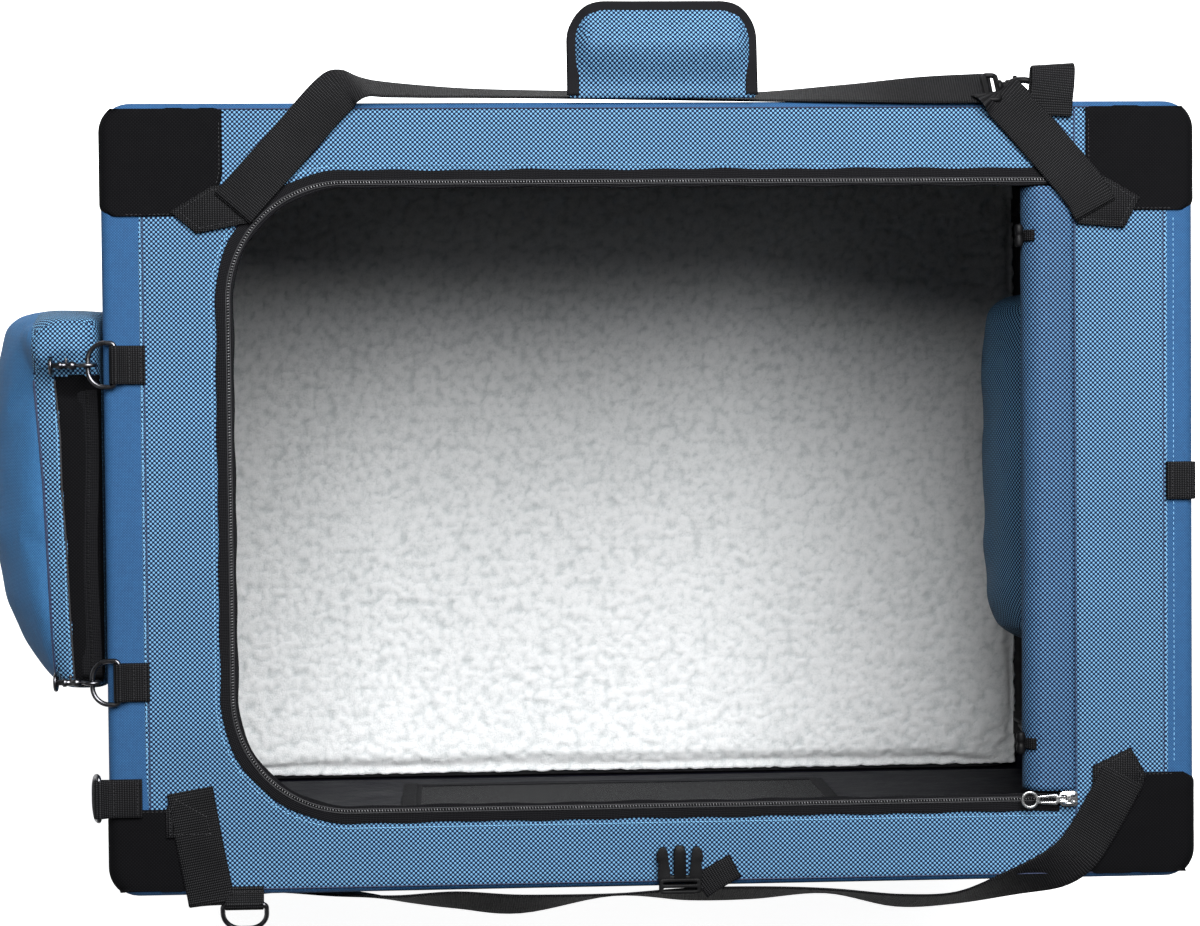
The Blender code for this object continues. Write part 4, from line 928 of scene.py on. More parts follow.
roll = {"x": 0.276, "z": 0.5168, "radius": 16.2 * mm, "back": 0.2135, "front": -0.2105, "skin": 0.9 * mm,
        "turns": 5.6, "ties": (0.1795, -0.1775), "tieWide": 8 * mm}


def makeRoll():
    angles = np.linspace(0, roll["turns"] * math.tau, 260)
    radius = roll["radius"] - (roll["radius"] - 3.2 * mm) * angles / angles[-1]
    # The cloth leaves the seam level, goes over the top, down the open side and under
    spiral = np.column_stack([roll["x"] - radius * np.sin(angles - 0.02), roll["z"] + radius * np.cos(angles)])
    lead = np.array([(crate["openRight"] + 0.2 * mm, crate["coverTop"] - 0.6 * mm),
                     (crate["openRight"] - 3 * mm, crate["coverTop"] + 0.6 * mm),
                     (roll["x"] + 9 * mm, crate["coverTop"] + 0.9 * mm)])
    curve = np.vstack([lead, spiral[2:]])
    stations = np.linspace(roll["front"], roll["back"], 110)
    rows = []
    centre = np.array((roll["x"], roll["z"]))
    away = curve - centre
    far = np.linalg.norm(away, axis=1, keepdims=True)
    hold = np.clip((np.arange(len(curve)) - 1) / 4, 0, 1)[:, None]
    for y in stations:
        # The ties pinch the roll
        squeeze = sum(math.exp(-((y - tie) / 7e-3) ** 2) for tie in roll["ties"])
        flare = 1 - 0.05 * squeeze
        wrinkle = 0.35 * mm * waves(np.arctan2(away[:, 1], away[:, 0]) * 0.012, np.full(len(curve), y), 0.055, 9)
        moved = centre + away * (flare + wrinkle[:, None] / np.maximum(far, 2e-3))
        moved = curve * (1 - hold) + moved * hold
        slant = 0.8 * mm * math.sin(y * 9)
        rows.append(np.column_stack([moved[:, 0], np.full(len(curve), y), moved[:, 1] + slant * hold[:, 0] * 0.4]))
    # The roll's cloth is a darker copy of the blue oxford: painted shade
    made = patchGrid("rolledDoor", np.array(rows), rollShadedBlue)
    run = np.concatenate([[0], np.cumsum(np.linalg.norm(np.diff(curve, axis=0), axis=1))])
    layer = made.data.uv_layers.new(name="cloth")
    count = len(curve)
    spots = [loop.vertex_index for loop in made.data.loops]
    uv = np.array([(run[spot % count], stations[spot // count]) for spot in spots])
    layer.data.foreach_set("uv", uv.astype(np.float32).ravel())
    # The seventh face lies level beside the seam
    if made.data.polygons[6].normal.z < 0:
        made.data.flip_normals()
    finishMesh(made, thick=roll["skin"], offset=-1)
    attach(made, "top")
    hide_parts("rolled_door")


def makeTies():
    for name, y in (("back", roll["ties"][0]), ("front", roll["ties"][1])):
        inner = roll["radius"] + 0.7 * mm
        path = [(roll["x"] + inner * math.cos(a), y, roll["z"] + inner * math.sin(a))
                for a in np.radians(np.linspace(215, 122, 30))]
        band = sweep("rollTie" + name, path, (0, 1, 0), tapeSection(roll["tieWide"], 1.0 * mm, 5), webbing)
        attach(band, "top")
        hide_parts("roll_tie_" + name)
        angle, out = math.radians(158), inner + 3.2 * mm
        spot = np.array((roll["x"] + out * math.cos(angle), y, roll["z"] + out * math.sin(angle)))
        path = [spot + np.array((0, s, 0)) for s in np.linspace(-8 * mm, 8 * mm, 24)]
        grow = [0.35 + 0.65 * math.sqrt(max(0, 1 - (abs(s) / 1.02) ** 6)) - 0.22 * math.exp(-(s * 5) ** 2)
                for s in np.linspace(-1, 1, 24)]
        peg = tube("toggle" + name, path, 3.1 * mm, blackPlastic, 14, body="top", scales=grow)


# Fleece mat: a padded pad, then a dense top of wool tufts laid on its shape

mat = {"endX": 0.364, "sideY": 0.2668, "foot": 0.2535, "floor": 2.3 * mm, "brimLow": 18.8 * mm, "top": 25.4 * mm,
       "pitch": 2.15 * mm, "tuft": 7.6 * mm, "tuftHigh": 3.2 * mm, "edgeRound": 10 * mm}


def tufts(x, y, spacing, seed):
    # Round curls about a jittered grid of centres: 1 on a crown, 0 between
    rng = np.random.default_rng(seed)
    size = 400
    jitter = rng.uniform(-0.48, 0.48, (size, size, 2))
    height = rng.uniform(0.6, 1.0, (size, size))
    cellX, cellY = np.floor(x / spacing).astype(int), np.floor(y / spacing).astype(int)
    best = np.zeros(x.shape)
    for dx in (-1, 0, 1):
        for dy in (-1, 0, 1):
            ix, iy = (cellX + dx) % size, (cellY + dy) % size
            px = (cellX + dx + 0.5 + jitter[ix, iy, 0]) * spacing
            py = (cellY + dy + 0.5 + jitter[ix, iy, 1]) * spacing
            far = np.hypot(x - px, y - py) / spacing
            best = np.maximum(best, np.clip(1 - (far * 1.25) ** 2, 0, 1) ** 0.7 * height[ix, iy])
    return best


def padLoops():
    # A plain block whose top the cloth then rounds
    loops = []
    for inset, z in ((0.010, 6 * mm), (0.003, 10 * mm), (0.003, 17 * mm), (0.012, mat["top"] - 3.5 * mm)):
        loop = roundedLoop(inset - mat["endX"], mat["endX"] - inset, inset - mat["sideY"], mat["sideY"] - inset,
                           (0.03,) * 4, 10, 0.0005)
        spots = np.linspace(0, len(loop), 200, endpoint=False).astype(int)
        loops.append(np.column_stack([loop[spots], np.full(200, z)]))
    return loops


def makeMat():
    pad = loft("padBase", padLoops(), fleece, ends=True)
    pad = swell(pad, voxel=5 * mm, pressure=3, cap=4 * mm, frames=14, hold=lambda spots: spots[:, 2] < 9 * mm)
    print("mat swollen")
    tree = surfaceTree(pad)
    xs = np.linspace(-mat["endX"], mat["endX"], int(2 * mat["endX"] / mat["pitch"]))
    ys = np.linspace(-mat["sideY"], mat["sideY"], int(2 * mat["sideY"] / mat["pitch"]))
    gx, gy = np.meshgrid(xs, ys, indexing="ij")
    base = np.full(gx.shape, mat["brimLow"])
    for spot in np.ndindex(gx.shape):
        hit = tree.ray_cast(Vector((gx[spot] * 0.985, gy[spot] * 0.985, 0.2)), Vector((0, 0, -1)))
        if hit[0] is not None:
            base[spot] = hit[0].z
    bpy.data.objects.remove(pad, do_unlink=True)
    base = np.minimum(base, mat["top"] + 1 * mm)
    inset = np.minimum(mat["endX"] - np.abs(gx), mat["sideY"] - np.abs(gy))
    edge = np.clip(inset / mat["edgeRound"], 0, 1)
    bentX = gx + 2.4 * mm * waves(gx, gy, 0.022, 35)
    bentY = gy + 2.4 * mm * waves(gx, gy, 0.024, 36)
    curl = 0.55 * tufts(bentX, bentY, mat["tuft"], 4) + 0.45 * tufts(bentX + 0.3, bentY, mat["tuft"] * 0.56, 5)
    swirl = waves(gx, gy, 0.05, 21) * 2.2 * mm
    drift = waves(gx, gy, 0.2, 23) * 1.6 * mm
    dome = np.sqrt(np.clip(1 - (1 - edge) ** 2, 0, 1))
    z = base + (curl - 0.4) * mat["tuftHigh"] + drift * edge - (1 - dome) * 4.5 * mm
    z = np.maximum(z, mat["brimLow"] + 0.4 * mm)
    # Creases between the outermost tufts draw back from the edge
    draw = 1.5 * mm * (1 - edge)
    x = gx + swirl * 0.25 * edge + waves(gx, gy, 0.012, 31) * 1.1 * mm
    y = gy + swirl * 0.25 * edge + waves(gx, gy, 0.013, 33) * 1.1 * mm
    y = y - np.sign(gy) * draw * (1 - curl)
    x = x - np.sign(gx) * draw * (1 - curl) * (mat["endX"] - np.abs(gx) < mat["edgeRound"])
    y = np.clip(y, -mat["sideY"] - 0.5 * mm, mat["sideY"] + 0.5 * mm)
    grid = np.dstack([x, y, z])
    rows, columns = grid.shape[:2]
    points = list(grid.reshape(-1, 3))
    shades = list(curl.ravel())
    faces = [(i * columns + j, (i + 1) * columns + j, (i + 1) * columns + j + 1, i * columns + j + 1)
             for i in range(rows - 1) for j in range(columns - 1)]
    rim = [(i, 0) for i in range(rows)] + [(rows - 1, j) for j in range(1, columns)]
    rim += [(i, columns - 1) for i in range(rows - 2, -1, -1)] + [(0, j) for j in range(columns - 2, 0, -1)]
    before = [i * columns + j for i, j in rim]
    narrow = mat["foot"] / mat["sideY"]
    # The sides and underside carry low curl values, so they take the creases' darker colour, painted shade
    for level, tuck, shade in ((mat["brimLow"] + 0.2 * mm, 1.0, 0.3), (mat["brimLow"], narrow, 0.2),
                               (mat["floor"] + 1 * mm, narrow, 0.2), (mat["floor"], narrow * 0.99, 0.2)):
        after = []
        limit = mat["sideY"] * tuck
        for i, j in rim:
            px, py = grid[i, j, 0], grid[i, j, 1]
            points.append((px * (0.999 if tuck == 1.0 else 0.994), max(-limit, min(limit, py)), level))
            shades.append(shade)
            after.append(len(points) - 1)
        for k in range(len(rim)):
            n = (k + 1) % len(rim)
            faces.append((before[k], before[n], after[n], after[k]))
        before = after
    points.append((0, 0, mat["floor"]))
    shades.append(0.2)
    faces += [(before[k], before[(k + 1) % len(rim)], len(points) - 1) for k in range(len(rim))]
    made = meshFrom("fleeceMat", points, faces, fleece)
    held = made.data.attributes.new("curl", "FLOAT", "POINT")
    held.data.foreach_set("value", np.array(shades, np.float32))
    tidyFaces(made, 1e-6)
    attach(made, "base")
    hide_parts("fleece_mat")
    print("mat:", len(faces), "faces")


# Walls: cloth panels outside, coated black lining inside

wall = {"bulge": 2.2 * mm, "low": 0.0362, "high": 0.506, "doorHalf": 0.18, "sill": 0.069, "doorTop": 0.429,
        "doorRound": 0.07, "winHalf": 0.22, "winLow": 0.159, "winHigh": 0.419, "winRound": 0.05,
        "endLow": 0.0386, "endHigh": 0.503, "endCut": 0.0215}


def wallPoint(side, a, z, inward):
    # side "front" or "back": a runs along X; the bulge dies out at the edges
    bow = wall["bulge"] * 0.45 * (waves(a, z, 0.3, 41 if side == "front" else 43) + 0.4 * waves(a, z, 0.09, 47))
    frameShare = np.clip((np.minimum(z - wall["low"], wall["high"] - z)) / 0.03, 0, 1)
    y = crate["wallSide"] - inward + np.minimum(bow * frameShare, 2.5 * mm)
    return np.stack([np.broadcast_to(a, y.shape), -y if side == "front" else y, np.broadcast_to(z, y.shape)], axis=-1)


def underBand(z, along, end, drop):
    # A wall goes up behind the top's band, but stops below it at the corners
    near = np.clip((np.abs(along) - end + 0.03) / 0.012, 0, 1)
    return z - drop * near * np.clip((z - 0.47) / 0.033, 0, 1)


def faceOut(made, axis, want):
    # Turns an open sheet's faces to the side that the sign of want says
    if sum(face.normal[axis] for face in made.data.polygons) * want < 0:
        made.data.flip_normals()


def makeLongWall(side, hole, node, name):
    end, mid = crate["wallEnd"], (wall["low"] + wall["high"]) / 2
    angles = np.arctan2(*roundedLoop(-end, end, -0.23, 0.23, (0.004,) * 4, 3, 0.004)[:, ::-1].T)
    x0, x1, z0, z1, radii = hole
    outer = alongRays(roundedLoop(-end, end, wall["low"] - mid, wall["high"] - mid, (0.004,) * 4, 3, 0.001), angles)
    inner = alongRays(roundedLoop(x0, x1, z0 - mid, z1 - mid, radii, 12, 0.001), angles)
    faces = {}
    for layer, inward, finish in (("Outside", 0.0, blueCloth), ("Lining", 1.0 * mm, blackLining)):
        loops = []
        for share in np.linspace(0, 1, 22):
            flat = inner + (outer - inner) * share
            z = underBand(flat[:, 1] + mid, flat[:, 0], end, 6 * mm)
            loops.append(wallPoint(side, flat[:, 0], z, inward))
        made = loft(name + layer, loops, finish)
        faceOut(made, 1, (-1 if side == "front" else 1) * (1 if layer == "Outside" else -1))
        clothUv(made)
        finishMesh(made, thick=0.7 * mm, offset=-1)
        faces[layer] = made
    for made in faces.values():
        squashWall(made)
    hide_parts(node)


def crumple(made):
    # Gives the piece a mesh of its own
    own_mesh(made)


def squashWall(made):
    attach(made, "base")
    crumple(made)


def ringOnWall(side, loop, inward=0.0):
    mid = (wall["low"] + wall["high"]) / 2
    return wallPoint(side, loop[:, 0], loop[:, 1] + mid, inward)


def ringAcross(path):
    return unit(np.cross(np.roll(path, -1, 0) - np.roll(path, 1, 0), (0, 1.0, 0)))


def offHinge(loop):
    # The loop without its straight left side, as an open run
    kept = loop[:, 0] > loop[:, 0].min() + 0.5 * mm
    start = int(np.argmax(~np.roll(kept, 1) & kept)) if not kept.all() else 0
    turned, left = np.roll(loop, -start, 0), np.roll(kept, -start)
    return turned[left]


def makeWallDress():
    mid = (wall["low"] + wall["high"]) / 2

    def opening(half, low, high, more, radii):
        return roundedLoop(-half - more, half + more, low - mid - more, high - mid + more, radii, 14, 0.006)

    curve = wall["doorRound"]
    door = opening(wall["doorHalf"], wall["sill"], wall["doorTop"], 0, (curve, curve, 0.004, 0.004))
    grown = opening(wall["doorHalf"], wall["sill"], wall["doorTop"], 6 * mm, (curve + 0.006,) * 2 + (0.01, 0.01))
    # The leaf's hinge side is sewn on, so the zip runs round the other three
    path = ringOnWall("front", offHinge(grown), -0.5 * mm)
    across = unit(np.cross(np.gradient(path, axis=0), (0, 1.0, 0)))
    squashWall(sweep("doorZipTape", path, across, tapeSection(0.012, 0.7 * mm), zipTape))
    run = ringOnWall("front", offHinge(door), -1.0 * mm)
    coil = bars("doorZipCoil", [run], (0, -1.0, 0), toothMetal, "base", pitch=1.4 * mm, long=0.8 * mm,
                wide=3.0 * mm, high=1.1 * mm, twist=0.25)
    crumple(coil)
    # A seam tape inside closes the slit behind the hinge
    zs = np.linspace(wall["sill"] + 3 * mm, wall["doorTop"] - wall["doorRound"], 40)
    path = np.column_stack([np.full(40, 1.5 * mm - wall["doorHalf"]), np.full(40, 2.8 * mm - crate["wallSide"]), zs])
    squashWall(sweep("frontDoorHinge", path, (1.0, 0, 0), tapeSection(0.012, 0.7 * mm), binding))
    wide = opening(wall["winHalf"], wall["winLow"], wall["winHigh"], 4 * mm, (wall["winRound"] + 0.004,) * 4)
    path = ringOnWall("back", wide, -0.5 * mm)
    squashWall(sweep("windowBinding", path, ringAcross(path), tapeSection(0.012, 0.9 * mm), binding, closed=True))
    for side, where in (("front", grown * 1.028), ("back", wide * 1.022)):
        way = (0, -1.0, 0) if side == "front" else (0, 1.0, 0)
        run = ringOnWall(side, np.vstack([where, where[:1]]), -0.3 * mm)
        sewn = stitches(side + "WallStitches", [run], way, "base", blueThread, 3.6 * mm)
        crumple(sewn)
    # Mesh window, on the back's inside face
    xs, zs = np.linspace(-0.222, 0.222, 60), np.linspace(0.157, 0.421, 36)
    gx, gz = np.meshgrid(xs, zs, indexing="ij")
    pane = patchGrid("windowPane", wallPoint("back", gx, gz, 0.6 * mm), windowMesh)
    clothUv(pane)
    finishMesh(pane, thick=0.3 * mm, offset=0)
    squashWall(pane)
    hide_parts("back_window")


def makeFrontDoor():
    # Mesh leaf with a bound edge; it swings about its left side
    half, low, high = wall["doorHalf"] - 0.8 * mm, wall["sill"] + 0.8 * mm, wall["doorTop"] - 0.8 * mm
    mid = (low + high) / 2
    loop = roundedLoop(-half, half, low - mid, high - mid, (wall["doorRound"],) * 2 + (0.004, 0.004), 14, 0.006)
    depth = -(crate["wallSide"] - 1.1 * mm)
    loops = []
    for share in np.linspace(1, 0.0015, 18):
        flat = loop * share
        sag = 0.8 * mm * waves(flat[:, 0], flat[:, 1], 0.12, 51) * (1 - share ** 4)
        loops.append(np.column_stack([flat[:, 0], np.full(len(flat), depth) + sag, flat[:, 1] + mid]))
    leaf = loft("frontDoorMesh", loops, windowMesh)
    faceOut(leaf, 1, -1)
    clothUv(leaf)
    finishMesh(leaf, thick=0.3 * mm, offset=0)
    path = np.column_stack([loop[:, 0] * 0.972, np.full(len(loop), depth - 0.1 * mm), loop[:, 1] * 0.972 + mid])
    edge = sweep("frontDoorBinding", path, ringAcross(path), tapeSection(0.011, 1.5 * mm), binding, closed=True)
    for made in (leaf, edge):
        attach(made, "front_door")
        crumple(made)
    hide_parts("front_door")


def makeEndWalls():
    half, deep = crate["wallSide"] - 1.6 * mm, wall["endCut"]
    ys = np.concatenate([np.linspace(-half, -0.2055, 7), np.linspace(-0.188, 0.188, 44), np.linspace(0.2055, half, 7)])
    for sign, side in ((-1, "left"), (1, "right")):
        for part, low, high in (("lower", wall["endLow"], crate["knee"] - 0.4 * mm),
                                ("upper", crate["knee"] + 0.4 * mm, wall["endHigh"])):
            zs = np.append(np.linspace(low, high - deep, 22), high) if part == "lower" \
                else np.append(low, np.linspace(low + deep, high, 22))
            kneeRow = len(zs) - 2 if part == "lower" else 0
            gy, gz = np.meshgrid(ys, zs, indexing="ij")
            gz = underBand(gz, gy, half, 3.6 * mm)
            calm = np.clip(np.minimum(gz - low, high - gz) / 0.025, 0, 1) * np.clip((half - np.abs(gy)) / 0.03, 0, 1)
            bow = 1.6 * mm * (waves(gy, gz, 0.22, 61 + sign) + 0.5 * waves(gy, gz, 0.07, 67)) * calm
            for layer, inward, finish in (("Outside", 0.0, blueCloth), ("Lining", 1.0 * mm, blackLining)):
                x = sign * (crate["wallEnd"] - inward + np.minimum(bow, 1.5 * mm))
                # The knees of the frame pass through two cuts beside the fold
                made = patchGrid(f"{side}{part.title()}Wall{layer}", np.stack([x, gy, gz], axis=-1), finish,
                                 skip=lambda i, j: j == kneeRow and i in (6, 50))
                faceOut(made, 0, sign * (1 if layer == "Outside" else -1))
                clothUv(made)
                finishMesh(made, thick=0.7 * mm, offset=-1)
                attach(made, f"{side}_{part}")
                if layer == "Outside":
                    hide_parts(f"{side}_wall_{part}")
            edgeZ = high - 6 * mm if part == "upper" else low + 6 * mm
            x = sign * (crate["wallEnd"] + 0.4 * mm)
            run = [(x, y, edgeZ) for y in np.linspace(-half + 0.01, half - 0.01, 50)]
            stitches(f"{side}{part.title()}Stitches", [run], (float(sign), 0, 0), f"{side}_{part}")


def makeBase():
    # Tray: rounded bottom edge, band, bound rim, and its inside
    r, skin = 9 * mm, 1.6 * mm
    rays = rayAngles[::2]
    profile = [(0.05, 0.0), (r, 0.0)]
    profile += [(r - r * math.sin(a), r - r * math.cos(a)) for a in np.radians((18, 36, 54, 72, 90))]
    profile += [(0.0, z) for z in np.linspace(r, crate["baseHigh"], 5)[1:]]
    profile += [(skin, crate["baseHigh"]), (skin, r), (r, skin), (0.05, skin)]
    loops = []
    for inset, z in profile:
        flat = alongRays(shrunk(inset), rays)
        loops.append(np.column_stack([flat, np.full(len(flat), z)]))
    made = loft("baseTray", loops, [plainBlue, blackLining], ends=True)
    for face in made.data.polygons:
        inward = face.normal.x * face.center.x + face.normal.y * face.center.y < 0
        face.material_index = 1 if face.center.z < 3 * mm or face.normal.z > 0.5 or inward else 0
    clothUv(made)
    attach(made, "base")
    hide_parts("base_cover")
    rim = alongRays(shrunk(-0.35 * mm), rays)
    path = np.column_stack([rim, np.full(len(rim), crate["baseHigh"] - 4.5 * mm)])
    edge = sweep("baseBinding", path, (0, 0, 1.0), tapeSection(8 * mm, 0.7 * mm), binding, closed=True, body="base")
    low = alongRays(shrunk(-0.4 * mm), rays)
    run = np.column_stack([low, np.full(len(low), 0.0135)])
    away = unit(np.column_stack([low, np.zeros(len(low))]))
    bars("baseStitches", [np.vstack([run, run[:1]])], [np.vstack([away, away[:1]])], blueThread, "base",
         pitch=3.6 * mm, long=2.6 * mm, wide=0.55 * mm, high=0.5 * mm)


# Webbing. Each row is the near edge's place in shares of half length, half depth and strap width, then the way across

strap = {"width": 32 * mm, "thick": 1.8 * mm, "level": 0.5342, "loop": 30 * mm, "tab": 26.5 * mm, "tabThick": 1.5 * mm}
backRows = [(-0.728, 0.690, 0, -0.05, (-0.735, 0.678, 0)), (-0.690, 0.750, 0, -0.05, (-0.735, 0.678, 0)),
            (-0.615, 0.865, 0, -0.03, (-0.735, 0.678, 0)), (-0.548, 0.968, 0, -0.02, (-0.735, 0.678, 0)),
            (-0.512, 1, 0.04, -0.05, (-0.70, 0.50, -0.3)), (-0.470, 1, 0.05, -0.04, (-0.4, 0.42, -0.8)),
            (-0.390, 1, 0.05, 0, (0, 0.32, -0.95)), (-0.300, 1, 0.05, 0.02, (0, 0.26, -0.96)),
            (-0.150, 1, 0.05, 0.22, (0, 0.24, -0.96)), (0.150, 1, -0.01, 0.22, (0, 0.24, -0.96)),
            (0.350, 1, -0.06, 0.03, (0, 0.44, -0.90)), (0.500, 1, -0.10, -0.04, (0, 0.64, -0.77)),
            (0.626, 1, -0.10, -0.09, (0, 0.7, -0.71))]
backEndRows = [(0.778, 0.680, 0, -0.05, (0.80, 0.60, 0)), (0.752, 0.740, 0, -0.05, (0.80, 0.60, 0)),
               (0.672, 0.870, 0, -0.03, (0.82, 0.57, 0)), (0.612, 0.962, 0, -0.03, (0.84, 0.54, 0)),
               (0.586, 1, 0.02, -0.03, (0.95, 0.20, -0.28)), (0.580, 1, 0.06, 0.35, (0.98, 0.02, -0.2)),
               (0.580, 1, 0.07, 0.72, (1, 0, -0.05))]
loopRows = [(0.690, 0.955, 0, -0.03, (1, 0, 0)), (0.691, 0.985, 0, -0.04, (1, 0, 0)),
            (0.692, 1, 0.02, -0.05, (1, 0.04, 0)), (0.695, 1, 0.30, -0.02, (1, 0.05, 0)),
            (0.698, 1, 0.62, 0.08, (1, 0.06, 0)), (0.698, 1, 0.70, 0.20, (1, 0.06, 0)),
            (0.697, 1, 0.60, 0.30, (1, 0.06, 0)), (0.694, 1, 0.30, 0.22, (1, 0.05, 0)),
            (0.692, 1, 0.08, 0.20, (1, 0.04, 0))]
frontRows = [(-0.808, -0.715, 0, 0, (-0.98, -0.18, 0)), (-0.790, -0.860, 0, 0, (-0.98, -0.18, 0)),
             (-0.774, -0.975, 0, -0.01, (-0.98, -0.14, 0)), (-0.770, -1, -0.07, -0.01, (-1, -0.05, 0)),
             (-0.768, -1, -0.13, 0.20, (-1, 0, 0)), (-0.764, -1, -0.14, 0.75, (-0.95, 0, -0.3)),
             (-0.735, -1, -0.15, 1.25, (-0.6, 0, -0.8)),
             (-0.690, -1, -0.15, 1.40, (0, -0.05, -1)), (-0.580, -1, -0.14, 0.75, (0.15, -0.1, -1)),
             (-0.480, -1, -0.06, 0.12, (0.1, -0.28, -0.95)), (-0.370, -1, 0.05, -0.05, (0.05, -0.52, -0.85)),
             (-0.250, -1, -0.06, 0.00, (0, -0.55, -0.84)), (-0.080, -1, -0.09, 0.04, (0, -0.20, -0.98)),
             (0.060, -1, 0.02, -0.03, (0, -0.42, -0.91)), (0.180, -1, 0.02, -0.03, (0, -0.42, -0.91)),
             (0.320, -1, -0.08, 0.06, (0, -0.25, -0.97)), (0.450, -1, -0.24, 0.12, (0, -0.42, -0.90)),
             (0.555, -1, -0.20, 0.10, (0.1, -0.42, -0.90)), (0.640, -0.972, 0, -0.02, (0.4, -0.6, -0.66)),
             (0.700, -0.930, 0, -0.06, (0.7, -0.66, -0.20)), (0.737, -0.895, 0, -0.06, (0.84, -0.54, 0)),
             (0.764, -0.845, 0, -0.05, (0.9, -0.43, 0)), (0.790, -0.785, 0, -0.05, (0.93, -0.36, 0)),
             (0.820, -0.710, 0, -0.05, (0.95, -0.30, 0))]


def strapPath(rows, width):
    centres, sides = [], []
    for x, y, out, drop, side in rows:
        side = np.array(side) / np.linalg.norm(side)
        level = strap["level"] - drop * strap["width"]
        edge = np.array((x * crate["end"], y * crate["side"] + out * strap["width"], level))
        centres.append(edge + side * width / 2)
        sides.append(side)
    return smoothPath(centres, 7), smoothPath(sides, 7)


def tapeOn(name, path, sides, width, thick, body="top", finish=None):
    made = sweep(name, path, sides, tapeSection(width, thick, 9), finish or webbing, body=body)
    return made


# Mitre folds where the straps are sewn on, as outlines on the top in millimetres

anchors = {"backLeft": [(-273, 191.5), (-314, 183.5), (-332, 198.5), (-303, 216), (-293, 217)],
           "backRight": [(296.5, 187), (330, 184), (341, 205.5), (315, 220.5), (302, 214)],
           "frontRight": [(306, -207), (306.5, -193), (333.5, -180.5), (344.5, -200), (339, -215)],
           "frontLeft": [(-340, -212), (-334.5, -202), (-309, -217), (-306, -232), (-340, -232)]}


def makeAnchor(name, outline):
    outline = np.array(outline) * mm
    low = crate["coverTop"] + 1.7 * mm
    made = plate(name + "Anchor", [tuple(p) for p in outline], low, low + 1.6 * mm, webbing, 0.5 * mm, "top")
    middle = outline.mean(0)
    inner = np.vstack([outline, outline[:1]]) * 0.8 + middle * 0.2
    run = [straight((*p, low + 1.9 * mm), (*q, low + 1.9 * mm), 0.002) for p, q in zip(inner[:-1], inner[1:])]
    stitches(name + "AnchorStitches", run, (0, 0, 1), "top", blackThread, 2.6 * mm)


def makeStraps():
    for name, rows, width, node in (("backStrap", backRows, strap["width"], "back_strap"),
                                    ("backStrapEnd", backEndRows, strap["width"], None),
                                    ("backStrapLoop", loopRows, strap["loop"], "back_strap_loop"),
                                    ("frontStrap", frontRows, strap["width"], "front_strap")):
        path, sides = strapPath(rows, width)
        made = tapeOn(name, path, sides, width, strap["thick"])
        if node:
            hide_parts(node)
    for name, outline in anchors.items():
        makeAnchor(name, outline)
    tail = [(0.0285, -0.2735, 0.5338), (0.034, -0.2695, 0.5352), (0.042, -0.2645, 0.5358), (0.0535, -0.2585, 0.5340)]
    tapeOn("frontStrapTail", smoothPath(tail, 6), (-0.42, 0.85, 0), 18 * mm, 1.6 * mm)


# Padded hand wrap, opened flat: blue cloth with a bound edge, hollow beside its hinge

wrap = {"hinge": (0.007, 0.2793, 0.5325), "long": 0.13, "near": -4.5 * mm, "reach": 0.061, "thick": 4 * mm,
        "ridge": 15 * mm, "round": 25 * mm, "droop": 9.2, "binding": 8 * mm}


def wrapPlace(u, v, w):
    # u along, v out from the hinge, w above the underside
    a = math.radians(wrap["droop"])
    x, y, z = wrap["hinge"]
    return np.stack([x + u, y + v * math.cos(a) + w * math.sin(a), z - v * math.sin(a) + w * math.cos(a)], axis=-1)


def wrapHeight(u, v):
    # A ridge about halfway out; from there the cloth falls steeply back to the hinge
    share = np.clip(v / wrap["reach"], 0, 1)
    rise = np.clip((share - 0.02) / 0.5, 0, 1)
    ridge = wrap["ridge"] * rise * rise * (3 - 2 * rise) * (1 - 0.55 * np.clip((share - 0.52) / 0.48, 0, 1))
    side = np.clip((wrap["long"] / 2 - np.abs(u)) / 0.014, 0, 1)
    return wrap["thick"] - 1.5 * mm + ridge * side + 0.4 * mm * waves(u, v, 0.04, 71)


